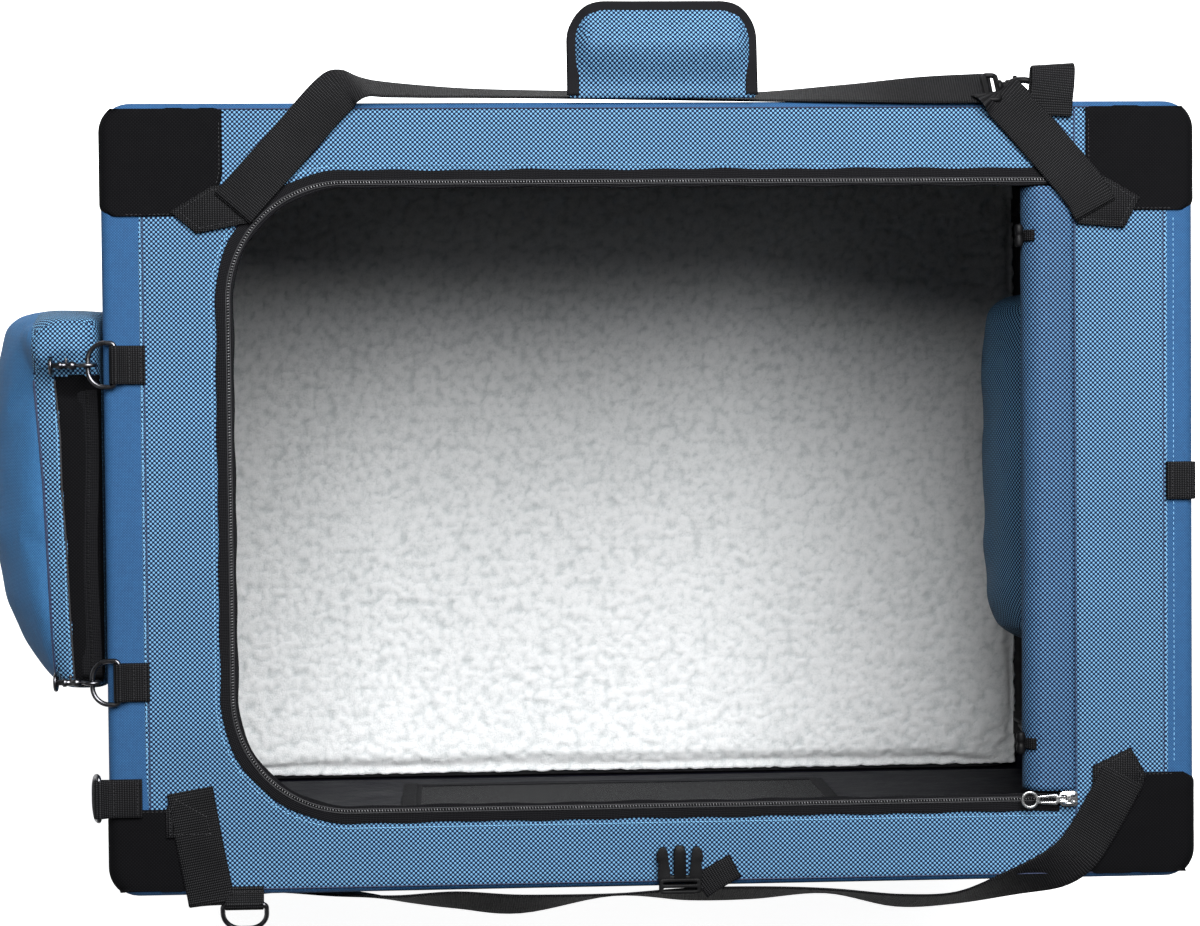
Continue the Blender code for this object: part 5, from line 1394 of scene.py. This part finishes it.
def makeWrap():
    half, reach = wrap["long"] / 2, wrap["reach"]
    loop = roundedLoop(-half, half, wrap["near"], reach, (wrap["round"], wrap["round"], 3 * mm, 3 * mm), 14, 2.4 * mm)
    middle = np.array((0, reach / 2))
    loops = []
    for share in np.linspace(0.02, 1, 20):
        flat = middle + (loop - middle) * share
        fade = 1 - 0.45 * np.clip((share - 0.88) / 0.12, 0, 1) ** 2
        loops.append(wrapPlace(flat[:, 0], flat[:, 1], wrapHeight(flat[:, 0], flat[:, 1]) * fade))
    for share in np.linspace(1, 0.02, 8):
        flat = middle + (loop - middle) * share
        loops.append(wrapPlace(flat[:, 0], flat[:, 1], np.full(len(flat), 0.3 * mm)))
    pad = loft("handleWrap", loops, blueCloth, ends=True)
    clothUv(pad)
    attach(pad, "handle_wrap")
    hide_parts("handle_wrap")

    # Binding: folded tape over the three free edges, wide on top
    def openEdge(inset):
        radii = (wrap["round"] - inset,) * 2 + (1 * mm,) * 2
        edge = roundedLoop(inset - half, half - inset, wrap["near"] - 0.02, reach - inset, radii, 14, 2 * mm)
        edge = np.roll(edge, -int(np.argmin(edge[:, 1] - edge[:, 0] * 1e-3)), 0)
        return edge[edge[:, 1] > wrap["near"] + 0.5 * mm]

    edge = openEdge(wrap["binding"] / 2 - 0.6 * mm)
    path = wrapPlace(edge[:, 0], edge[:, 1], wrapHeight(edge[:, 0], edge[:, 1]) + 0.5 * mm)
    ahead = unit(np.gradient(path, axis=0))
    band = sweep("wrapBinding", path, np.cross(ahead, (0, 0, 1.0)), tapeSection(wrap["binding"], 1.3 * mm, 6), binding,
                 body="handle_wrap")
    rim = openEdge(0.6 * mm)
    lip = wrapPlace(rim[:, 0], rim[:, 1], np.full(len(rim), 1.9 * mm))
    edgeRoll = tube("wrapLip", lip, 1.8 * mm, binding, 10, body="handle_wrap")


# Side-release buckle half, flat on the top beside the front edge

buckle = {"x": 0.0145, "front": -0.2768, "low": 0.5324, "wide": 29 * mm, "baseLong": 10.5 * mm, "thick": 6.4 * mm}


def makeBuckle():
    x, y, z = buckle["x"], buckle["front"], buckle["low"]
    half = buckle["wide"] / 2
    parts = []

    def add(outline, low, high, bevel, holes=()):
        parts.append(plate("bucklePart", outline, z + low * mm, z + high * mm, blackPlastic, bevel * mm, None, holes))

    bar = roundedLoop(x - half, x + half, y, y + buckle["baseLong"], (2 * mm,) * 4, 6, 1 * mm)
    slots = [roundedLoop(x - half + 2.6 * mm, x + half - 2.6 * mm, y + low, y + low + 1.9 * mm, (0.8 * mm,) * 4, 4,
                         0.8 * mm) for low in (2.2 * mm, 6.4 * mm)]
    add(bar, 0, buckle["thick"] / mm, 0.9, slots)
    rows = [(6.9, 8), (14.4, 8), (15.4, 14), (15.0, 21), (16.2, 24.5), (15.8, 28), (14.2, 31.4), (11.6, 32.4),
            (9.2, 31), (8.2, 26), (7.6, 20), (6.8, 14)]
    for side in (-1, 1):
        arm = [(x + side * u * mm, y + v * mm) for u, v in rows]
        add(smoothPath(arm + arm[:1], 4)[:-1], 1.4, 5.4, 0.6)
    rows = ((-4.2, 8), (4.2, 8), (4.3, 29), (2.8, 33.4), (-2.8, 33.4), (-4.3, 29))
    add([(x + u * mm, y + v * mm) for u, v in rows], 1.6, 5.0, 0.7)
    add(roundedLoop(x - 11 * mm, x + 11 * mm, y + 9 * mm, y + 12.4 * mm, (1 * mm,) * 4, 4, 1 * mm), 1.2, 4.6, 0.7)
    made = joined("sideBuckle", parts, "male_buckle")
    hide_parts("male_buckle")


# Plastic trigger clip between the two lengths of the back strap; it leans down beside the crate

clip = {"left": 0.2338, "near": (0.2722, 0.5372), "lean": (0.72, -0.69), "high": 29 * mm, "hookX": 0.2585,
        "hookRadius": 7 * mm}


def clipPlace(u, v):
    # u along, v across from the near edge
    return (clip["left"] + u, clip["near"][0] + v * clip["lean"][0], clip["near"][1] + v * clip["lean"][1])


def makeClip():
    high, middle = clip["high"], clip["high"] / 2 + 1 * mm
    outline = roundedLoop(0, 8.4 * mm, 1.5 * mm, high - 1.5 * mm, (2.4 * mm,) * 4, 6, 1 * mm)
    parts = [tube("clipFrame", [clipPlace(u, v) for u, v in outline], 1.9 * mm, blackPlastic, 12, closed=True)]
    rows = [(8.0, 4.6), (9.6, 4.8), (11.0, 4.4), (11.6, 3.3), (13.8, 3.3), (14.4, 4.6), (17.0, 4.8), (18.4, 3.6)]
    parts.append(tube("clipBarrel", [clipPlace(u * mm, middle) for u, _ in rows], 1 * mm, blackPlastic, 20,
                      scales=[size for _, size in rows]))
    r, centre = clip["hookRadius"], clip["hookX"] - clip["left"] + 2.5 * mm
    arc = [clipPlace(centre + r * 1.25 * math.cos(a), middle + r * math.sin(a))
           for a in np.radians(np.linspace(188, -112, 40))]
    scales = list(np.concatenate([np.linspace(1.5, 1.15, 12), np.full(20, 1.1), np.linspace(1.1, 0.85, 8)]))
    parts.append(tube("clipHook", arc, 2.1 * mm, blackPlastic, 14, scales=scales))
    gate = [clipPlace(centre - r * 1.15, middle - 2.6 * mm), clipPlace(centre - 2 * mm, middle - r * 0.92),
            clipPlace(centre + 1.5 * mm, middle - r)]
    parts.append(tube("clipGate", smoothPath(gate, 6), 1.25 * mm, silver, 10))
    knob = [clipPlace(centre - r * 0.7, middle + r * 0.9), clipPlace(centre - r * 0.7, middle + r * 1.45)]
    parts.append(tube("clipKnob", straight(*knob, 0.4 * mm), 1.7 * mm, blackPlastic, 12))
    made = joined("triggerClip", parts, "top")
    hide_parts("trigger_clip")


# Wire D rings, their folded tabs, and the trigger hooks of the storage bag

ring = {"wide": 30.1 * mm, "reach": 19 * mm, "wire": 1.7 * mm, "barrel": 3.8 * mm, "bagTilt": 11, "spareTilt": 72,
        "frontTilt": 20}
tabs = {"bagX": -0.3705, "bagBack": 0.094, "bagFront": -0.124, "level": 0.532, "edgeLevel": 0.5333, "spareX": -0.3851,
        "spareY": -0.204, "frontX": -0.287, "frontY": -0.2786, "rightY": 0.007}
hookLevel = 0.5290


def makeRing(name, centre, out, tilt, node, body):
    out, along = np.array(out, float), np.cross((0, 0, 1), out)
    half, tilt = ring["wide"] / 2, math.radians(tilt)
    flat = roundedLoop(0, ring["reach"], -half, half, (0.012, 3 * mm, 3 * mm, 0.012), 14, 1.2 * mm)
    down = out * math.cos(tilt) - np.array((0, 0, math.sin(tilt)))
    path = [np.array(centre) + down * u + along * v for u, v in flat]
    made = tube(name, path, ring["wire"], gunmetal, 14, closed=True, body=body)
    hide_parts(node)
    return np.array(centre) + down * ring["reach"]


def makeTab(name, centre, out, reach, level, node):
    out, along = np.array(out, float), np.cross((0, 0, 1), out)
    thick, turn = strap["tabThick"], ring["barrel"] - strap["tabThick"] / 2
    base = np.array((centre[0], centre[1], level))
    flat = [(-reach, thick / 2), (-reach * 0.5, thick / 2), (-3 * mm, thick / 2)]
    flat += [(turn * math.sin(a), ring["barrel"] - turn * math.cos(a)) for a in np.radians(np.linspace(0, 205, 14))]
    flat += [(-6.5 * mm, 2.5 * mm + thick * 0.2), (-9 * mm, thick * 1.55), (-reach * 0.6, thick * 1.5),
             (-reach, thick * 1.5)]
    path = smoothPath([base + out * u + np.array((0, 0, v)) for u, v in flat], 3)
    made = tapeOn(name, path, along, strap["tab"], thick)
    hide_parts(node)
    lift = np.array((0, 0, 2 * thick + 0.4 * mm))
    runs = [straight(*(base - out * back + along * way * mm + lift for way in (-10.5, 10.5)), 0.002)
            for back in (min(10 * mm, reach - 6 * mm), reach - 3 * mm)]
    stitches(name + "Stitches", runs, (0, 0, 1), "top", blackThread, 2.4 * mm)


def makeHook(name, eye, node):
    # Snap hook: bent wire with a gate, a swivel barrel, and a stem down to the bag's edge
    x, y, z = eye
    wire, level, eyeR = 1.5 * mm, hookLevel, 5.6 * mm
    r = ring["wire"] + wire + 1.1 * mm
    arc = [(x + r * 1.15 * math.cos(a), y, z + r * math.sin(a)) for a in np.radians(np.linspace(-75, 190, 26))]
    arc += [(x - r * 1.5, y, level + 0.6 * mm), (x - r * 1.9, y, level)]
    parts = [tube(name + "Wire", smoothPath(arc, 2), wire, gunmetal, 12)]
    gate = [(x - r * 1.0, y, z - 3.6 * mm), (x + 0.6 * mm, y, z - r * 1.0)]
    parts.append(tube(name + "Gate", straight(*gate, 0.6 * mm), 0.85 * mm, gunmetal, 8))
    rows = [(8.2, 2.1), (10.0, 2.7), (11.0, 3.0), (12.6, 3.0), (13.2, 2.2), (17.6, 2.2), (18.4, 3.0), (20.2, 3.0),
            (21.0, 2.0), (24.5, 1.7)]
    parts.append(tube(name + "Barrel", [(x - u * mm, y, level) for u, _ in rows], 1 * mm, gunmetal, 16,
                      scales=[v for _, v in rows]))
    parts.append(tube(name + "Thumb", [(x - 15 * mm, y + s * mm, level + 1 * mm) for s in (0, 2, 4, 5.2)],
                      1.1 * mm, gunmetal, 10))
    loop = [(x - 26 * mm, y + math.cos(a) * eyeR, level - eyeR + math.sin(a) * eyeR)
            for a in np.radians(np.arange(0, 360, 15))]
    parts.append(tube(name + "Eye", loop, 1.3 * mm, gunmetal, 10, closed=True))
    made = joined(name, parts, "bag")
    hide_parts(node)


def makeTabs():
    left, front = (-1, 0, 0), (0, -1, 0)
    for name, y in (("back", tabs["bagBack"]), ("front", tabs["bagFront"])):
        centre = (tabs["bagX"], y, tabs["level"] + ring["barrel"])
        makeTab("bagTab" + name.title(), centre, left, 20.5 * mm, tabs["level"], "bag_tab_" + name)
        eye = makeRing("bagRing" + name.title(), centre, left, ring["bagTilt"], "bag_ring_" + name, "bag")
        makeHook("bagHook" + name.title(), eye, "bag_hook_" + name)
    centre = (tabs["spareX"], tabs["spareY"], tabs["edgeLevel"] + ring["barrel"])
    makeTab("spareTab", centre, left, 29 * mm, tabs["edgeLevel"], "spare_tab")
    makeRing("spareRing", centre, left, ring["spareTilt"], "spare_ring", "spare_ring")
    centre = (tabs["frontX"], tabs["frontY"], tabs["level"] + ring["barrel"])
    makeTab("frontRingTab", centre, front, 12 * mm, tabs["level"], "front_ring_tab")
    makeRing("frontRing", centre, front, ring["frontTilt"], "front_ring", "front_ring")
    y, end, level = tabs["rightY"], crate["end"] - 1.6 * mm, tabs["level"]
    rows = ((20, 0.8), (10, 0.8), (1.2, 0.8), (0.1, 1.6), (1.4, 2.4), (10, 2.4), (20, 2.4))
    path = [(end - u * mm, y, level + v * mm) for u, v in rows]
    made = tapeOn("rightTab", smoothPath(path, 4), (0, 1, 0), strap["tab"], 1.5 * mm)
    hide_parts("right_tab")
    level += 3.6 * mm
    runs = [straight((end - u * mm, y - 11 * mm, level), (end - u * mm, y + 11 * mm, level), 0.002) for u in (5, 16)]
    stitches("rightTabStitches", runs, (0, 0, 1), "top", blackThread, 2.4 * mm)


# Storage bag and pouch: lofted, blown up as cloth, then seamed and zipped on their own shape

bag = {"wide": 0.274, "deep": 0.058, "high": 0.18, "belly": 0.034, "edge": 10 * mm, "x": -0.3832, "y": -0.001,
       "top": 0.5155, "tucks": ((0, 0.06, 0.2, 0.45, 0.8, 0.95, 1), (0.9, 0.35, 0.05, 0, 0.25, 0.5, 0.9))}
pouch = {"x": 0.3609, "y": 0.010, "top": 0.4295}


def bagForm(name, innerX, centreY, topZ, depthAt, bulge):
    loops = []
    for share in np.concatenate([[0.0], np.linspace(0.02, 0.98, 30), [1.0]]):
        tuck = bag["edge"] * float(np.interp(share, *bag["tucks"]))
        deep = bag["deep"] + bag["belly"] * math.sin(math.pi * share) - tuck - 2.5 * mm
        half = bag["wide"] / 2 - tuck - 2.5 * mm
        flat = roundedLoop(innerX - deep, innerX, centreY - half, centreY + half,
                           (5 * mm, bag["edge"] * 1.5, bag["edge"] * 1.2, 5 * mm), 8, 0.0005)
        flat = flat[np.linspace(0, len(flat), 220, endpoint=False).astype(int)]
        away = innerX - flat[:, 0]
        x = innerX - away * depthAt(flat[:, 1]) - np.clip(away / deep, 0, 1) * 2 * mm \
            * waves(flat[:, 1], np.full(220, share * 0.18), 0.06, 81)
        z = topZ - bag["high"] + share * (bag["high"] - 3 * mm) + bulge(x, flat[:, 1], share)
        loops.append(np.column_stack([np.minimum(x, innerX), flat[:, 1], z]))
    # Rings in the top let the bulge show there
    last = loops[-1]
    middle = np.array((innerX - 0.024, centreY))
    for scale in (0.93, 0.84, 0.72, 0.58, 0.42, 0.25, 0.1):
        flat = middle + (last[:, :2] - middle) * scale
        z = topZ - 3 * mm + bulge(flat[:, 0], flat[:, 1], 1.0)
        loops.append(np.column_stack([flat, z]))
    return loft(name, loops, blueCloth, ends=True)


def swellBag(made, innerX, low, high):
    made = swell(made, voxel=4.5 * mm, pressure=3, cap=5 * mm, frames=16,
                 hold=lambda spots: spots[:, 0] > innerX - 3 * mm)
    places = np.clip(np.array([v.co for v in made.data.vertices]), low, high)
    made.data.vertices.foreach_set("co", places.astype(np.float32).ravel())
    made.data.update()
    change = made.modifiers.new("calm", "SMOOTH")
    change.iterations = 2
    finishMesh(made, levels=1)
    return applyAll(made)


def surfaceTree(made):
    bm = bmesh.new()
    bm.from_mesh(made.data)
    tree = BVHTree.FromBMesh(bm)
    bm.free()
    return tree


def downTo(tree, rows, lift):
    # Each (x, y) dropped on to a piece from above, without the ones that miss it
    hits = [(x, y, tree.ray_cast(Vector((x, y, 0.6)), Vector((0, 0, -1)))[0]) for x, y in rows]
    return [np.array((x, y, spot.z + lift)) for x, y, spot in hits if spot is not None]


def bagEdge(y, line):
    return np.interp(y, (-0.135, -0.075, -0.03, 0.01, 0.045, 0.08), line)


bagLines = {"gusset": (-0.4177, -0.4198, -0.4215, -0.4233, -0.4260, -0.4290),
            "panel": (-0.4036, -0.4064, -0.4080, -0.4106, -0.4112, -0.4142)}


def makeBags():
    def depthAt(y):
        return np.interp(y, (-0.138, -0.125, -0.1, -0.07, -0.02, 0.05, 0.09, 0.12, 0.136),
                         (0.44, 0.58, 0.77, 0.91, 1.0, 1.0, 0.96, 0.88, 0.80))

    def dome(x, y, share):
        # The back end is folded over the top as a soft hood
        edge = 0.089 + np.clip((-0.424 - x) / 0.016, 0, 1) * 0.028
        rise = 1 / (1 + np.exp(-(y - edge) / 2.6e-3))
        fall = np.clip((0.140 - y) / 0.03, 0, 1) ** 0.5
        return 15 * mm * rise * fall * np.clip((share - 0.7) / 0.3, 0, 1) * np.clip((-0.383 - x) / 0.012, 0, 1) ** 0.5

    made = bagForm("storageBag", bag["x"], bag["y"], bag["top"], depthAt, dome)
    made = swellBag(made, bag["x"], (-0.4744, -0.1378, 0.3362), (-0.383, 0.1358, 0.5300))
    made.data.materials.clear()
    for finish in (blueCloth, blackCloth, bagBlue):
        made.data.materials.append(finish)
    for face in made.data.polygons:
        x, y, z = face.center
        zipped = face.normal.z > 0.25 and z > 0.49 and y < 0.087 and x > bagEdge(y, bagLines["panel"])
        face.material_index = 1 if zipped else 2 if x < bagEdge(y, bagLines["gusset"]) else 0
    clothUv(made)
    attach(made, "bag")
    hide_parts("storage_bag")
    tree = surfaceTree(made)
    ys = np.linspace(-0.130, 0.084, 60)

    def along(line, shift, lift):
        return downTo(tree, [(float(bagEdge(y, bagLines[line])) + shift, y) for y in ys], lift)

    seamLine("bagSeam", along("gusset", 0, 0.1 * mm), navySeam, "bag", 0.9 * mm)
    seamLine("bagPanelSeam", along("panel", 0, 0.1 * mm), blackThread, "bag", 0.6 * mm)
    zipRun = downTo(tree, [(-0.3925 + 0.9 * mm * math.sin(y * 40), y) for y in ys[2:-2]], 0.5 * mm)
    tapeOn("bagZipTape", [p - np.array((0, 0, 0.3 * mm)) for p in zipRun], (1, 0, 0), 14 * mm, 0.7 * mm, "bag",
           zipTape)
    teeth = bars("bagZipCoil", [zipRun], (0, 0, 1), blackPlastic, "bag", pitch=1.6 * mm, long=0.9 * mm,
                 wide=2.6 * mm, high=1.0 * mm, twist=0.25)
    stitches("bagStitches", [along("panel", -1.8 * mm, 0.3 * mm)], (0, 0, 1), "bag", blueThread, 3.2 * mm)

    def pouchDepth(y):
        return np.interp(y, (-0.127, -0.112, -0.09, 0.0, 0.10, 0.13, 0.147), (0.66, 0.88, 0.97, 1.0, 1.0, 0.96, 0.85))

    def seamX(y):
        return 0.319 - 14 * mm * np.cos((y - 0.01) * 11)

    def fold(x, y, share):
        # A lens-shaped hollow along the top
        across = (x - seamX(y)) / 4 / mm
        ends = np.clip((0.115 - np.abs(y - 0.01)) / 0.03, 0, 1)
        return -5 * mm * np.exp(-across ** 2) * ends * np.clip((share - 0.8) / 0.2, 0, 1)

    made = bagForm("innerPouch", pouch["x"], pouch["y"], pouch["top"], pouchDepth, fold)
    made = swellBag(made, pouch["x"], (0.2698, -0.1268, 0.2502), (0.3609, 0.1468, 0.4298))
    clothUv(made)
    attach(made, "right_upper")
    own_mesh(made)
    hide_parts("inner_pouch")
    tree = surfaceTree(made)
    rows = downTo(tree, [(float(seamX(y)), y) for y in np.linspace(-0.09, 0.11, 60)], 0.2 * mm)
    line = seamLine("pouchSeam", rows, navySeam, "right_upper", 0.8 * mm)
    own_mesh(line)


# CAD pieces that stay as they are: the first word found in a name picks its finish, steel where none is

nodeLooks = {"rivet": silver, "ring": gunmetal, "hook": gunmetal, "buckle": blackPlastic, "clip": blackPlastic,
             "strap": webbing, "tab": webbing, "wrap": blueCloth, "bag": blueCloth, "pouch": blueCloth}


def dressNodes():
    for name, made in nodes.items():
        look = next((finish for word, finish in nodeLooks.items() if word in name), blackSteel)
        if not made.data.materials:
            made.data.materials.append(look)
        for spot in made.material_slots:
            spot.material = look


def makeStage():
    data = bpy.data.meshes.new("floor")
    data.from_pydata([(-6, -6, 0), (6, -6, 0), (6, 6, 0), (-6, 6, 0)], [], [(0, 1, 2, 3)])
    paper = bpy.data.materials.new("whiteFloor")
    paper.use_nodes = True
    tree = paper.node_tree
    shader = tree.nodes["Principled BSDF"]
    shader.inputs["Base Color"].default_value = (0.93, 0.93, 0.93, 1)
    shader.inputs["Roughness"].default_value = 0.9
    shader.inputs["Specular IOR Level"].default_value = 0.1
    path = tree.nodes.new("ShaderNodeLightPath")
    lift = tree.nodes.new("ShaderNodeEmission")
    lift.inputs["Color"].default_value = (1, 1, 1, 1)
    lift.inputs["Strength"].default_value = light["floorLift"]
    share = tree.nodes.new("ShaderNodeMixShader")
    both = tree.nodes.new("ShaderNodeAddShader")
    for source, target in ((shader.outputs[0], both.inputs[0]), (lift.outputs[0], both.inputs[1]),
                           (path.outputs["Is Camera Ray"], share.inputs[0]), (shader.outputs[0], share.inputs[1]),
                           (both.outputs[0], share.inputs[2]),
                           (share.outputs[0], tree.nodes["Material Output"].inputs["Surface"])):
        tree.links.new(source, target)
    data.materials.append(paper)
    floor = bpy.data.objects.new("floor", data)
    bpy.context.scene.collection.objects.link(floor)
    areaLight("key", light["key"], light["keyPlace"], (0, 0, 0.3), light["keySize"])
    areaLight("sideFill", light["side"], (-2.2, -1.2, 1.6), (0, 0, 0.3), 1.6)
    world = bpy.data.worlds.new("studio")
    world.use_nodes = True
    sky = world.node_tree.nodes["Background"]
    sky.inputs["Color"].default_value = (1, 1, 1, 1)
    sky.inputs["Strength"].default_value = light["fill"]
    bpy.context.scene.world = world
    bpy.context.scene.view_settings.view_transform = "Standard"


setCamera()
makeStage()
dressNodes()
print("stage and frame ready")
makeTopCover()
makeTopSeams()
makeZip()
makeSlider()
for signX, nameX in ((-1, "left"), (1, "right")):
    for signY, nameY in ((-1, "front"), (1, "back")):
        makePatch(f"{nameX}_{nameY}", signX, signY)
print("top ready")
makeRoll()
makeTies()
print("roll ready")
makeMat()
makeLongWall("front", (-wall["doorHalf"], wall["doorHalf"], wall["sill"], wall["doorTop"],
                       (wall["doorRound"], wall["doorRound"], 0.004, 0.004)), "front_wall", "frontWall")
makeLongWall("back", (-wall["winHalf"], wall["winHalf"], wall["winLow"], wall["winHigh"],
                      (wall["winRound"],) * 4), "back_wall", "backWall")
makeWallDress()
makeFrontDoor()
makeEndWalls()
makeBase()
print("walls ready")
makeStraps()
makeWrap()
makeBuckle()
makeClip()
makeTabs()
print("webbing and fittings ready")
makeBags()
print("bags ready")
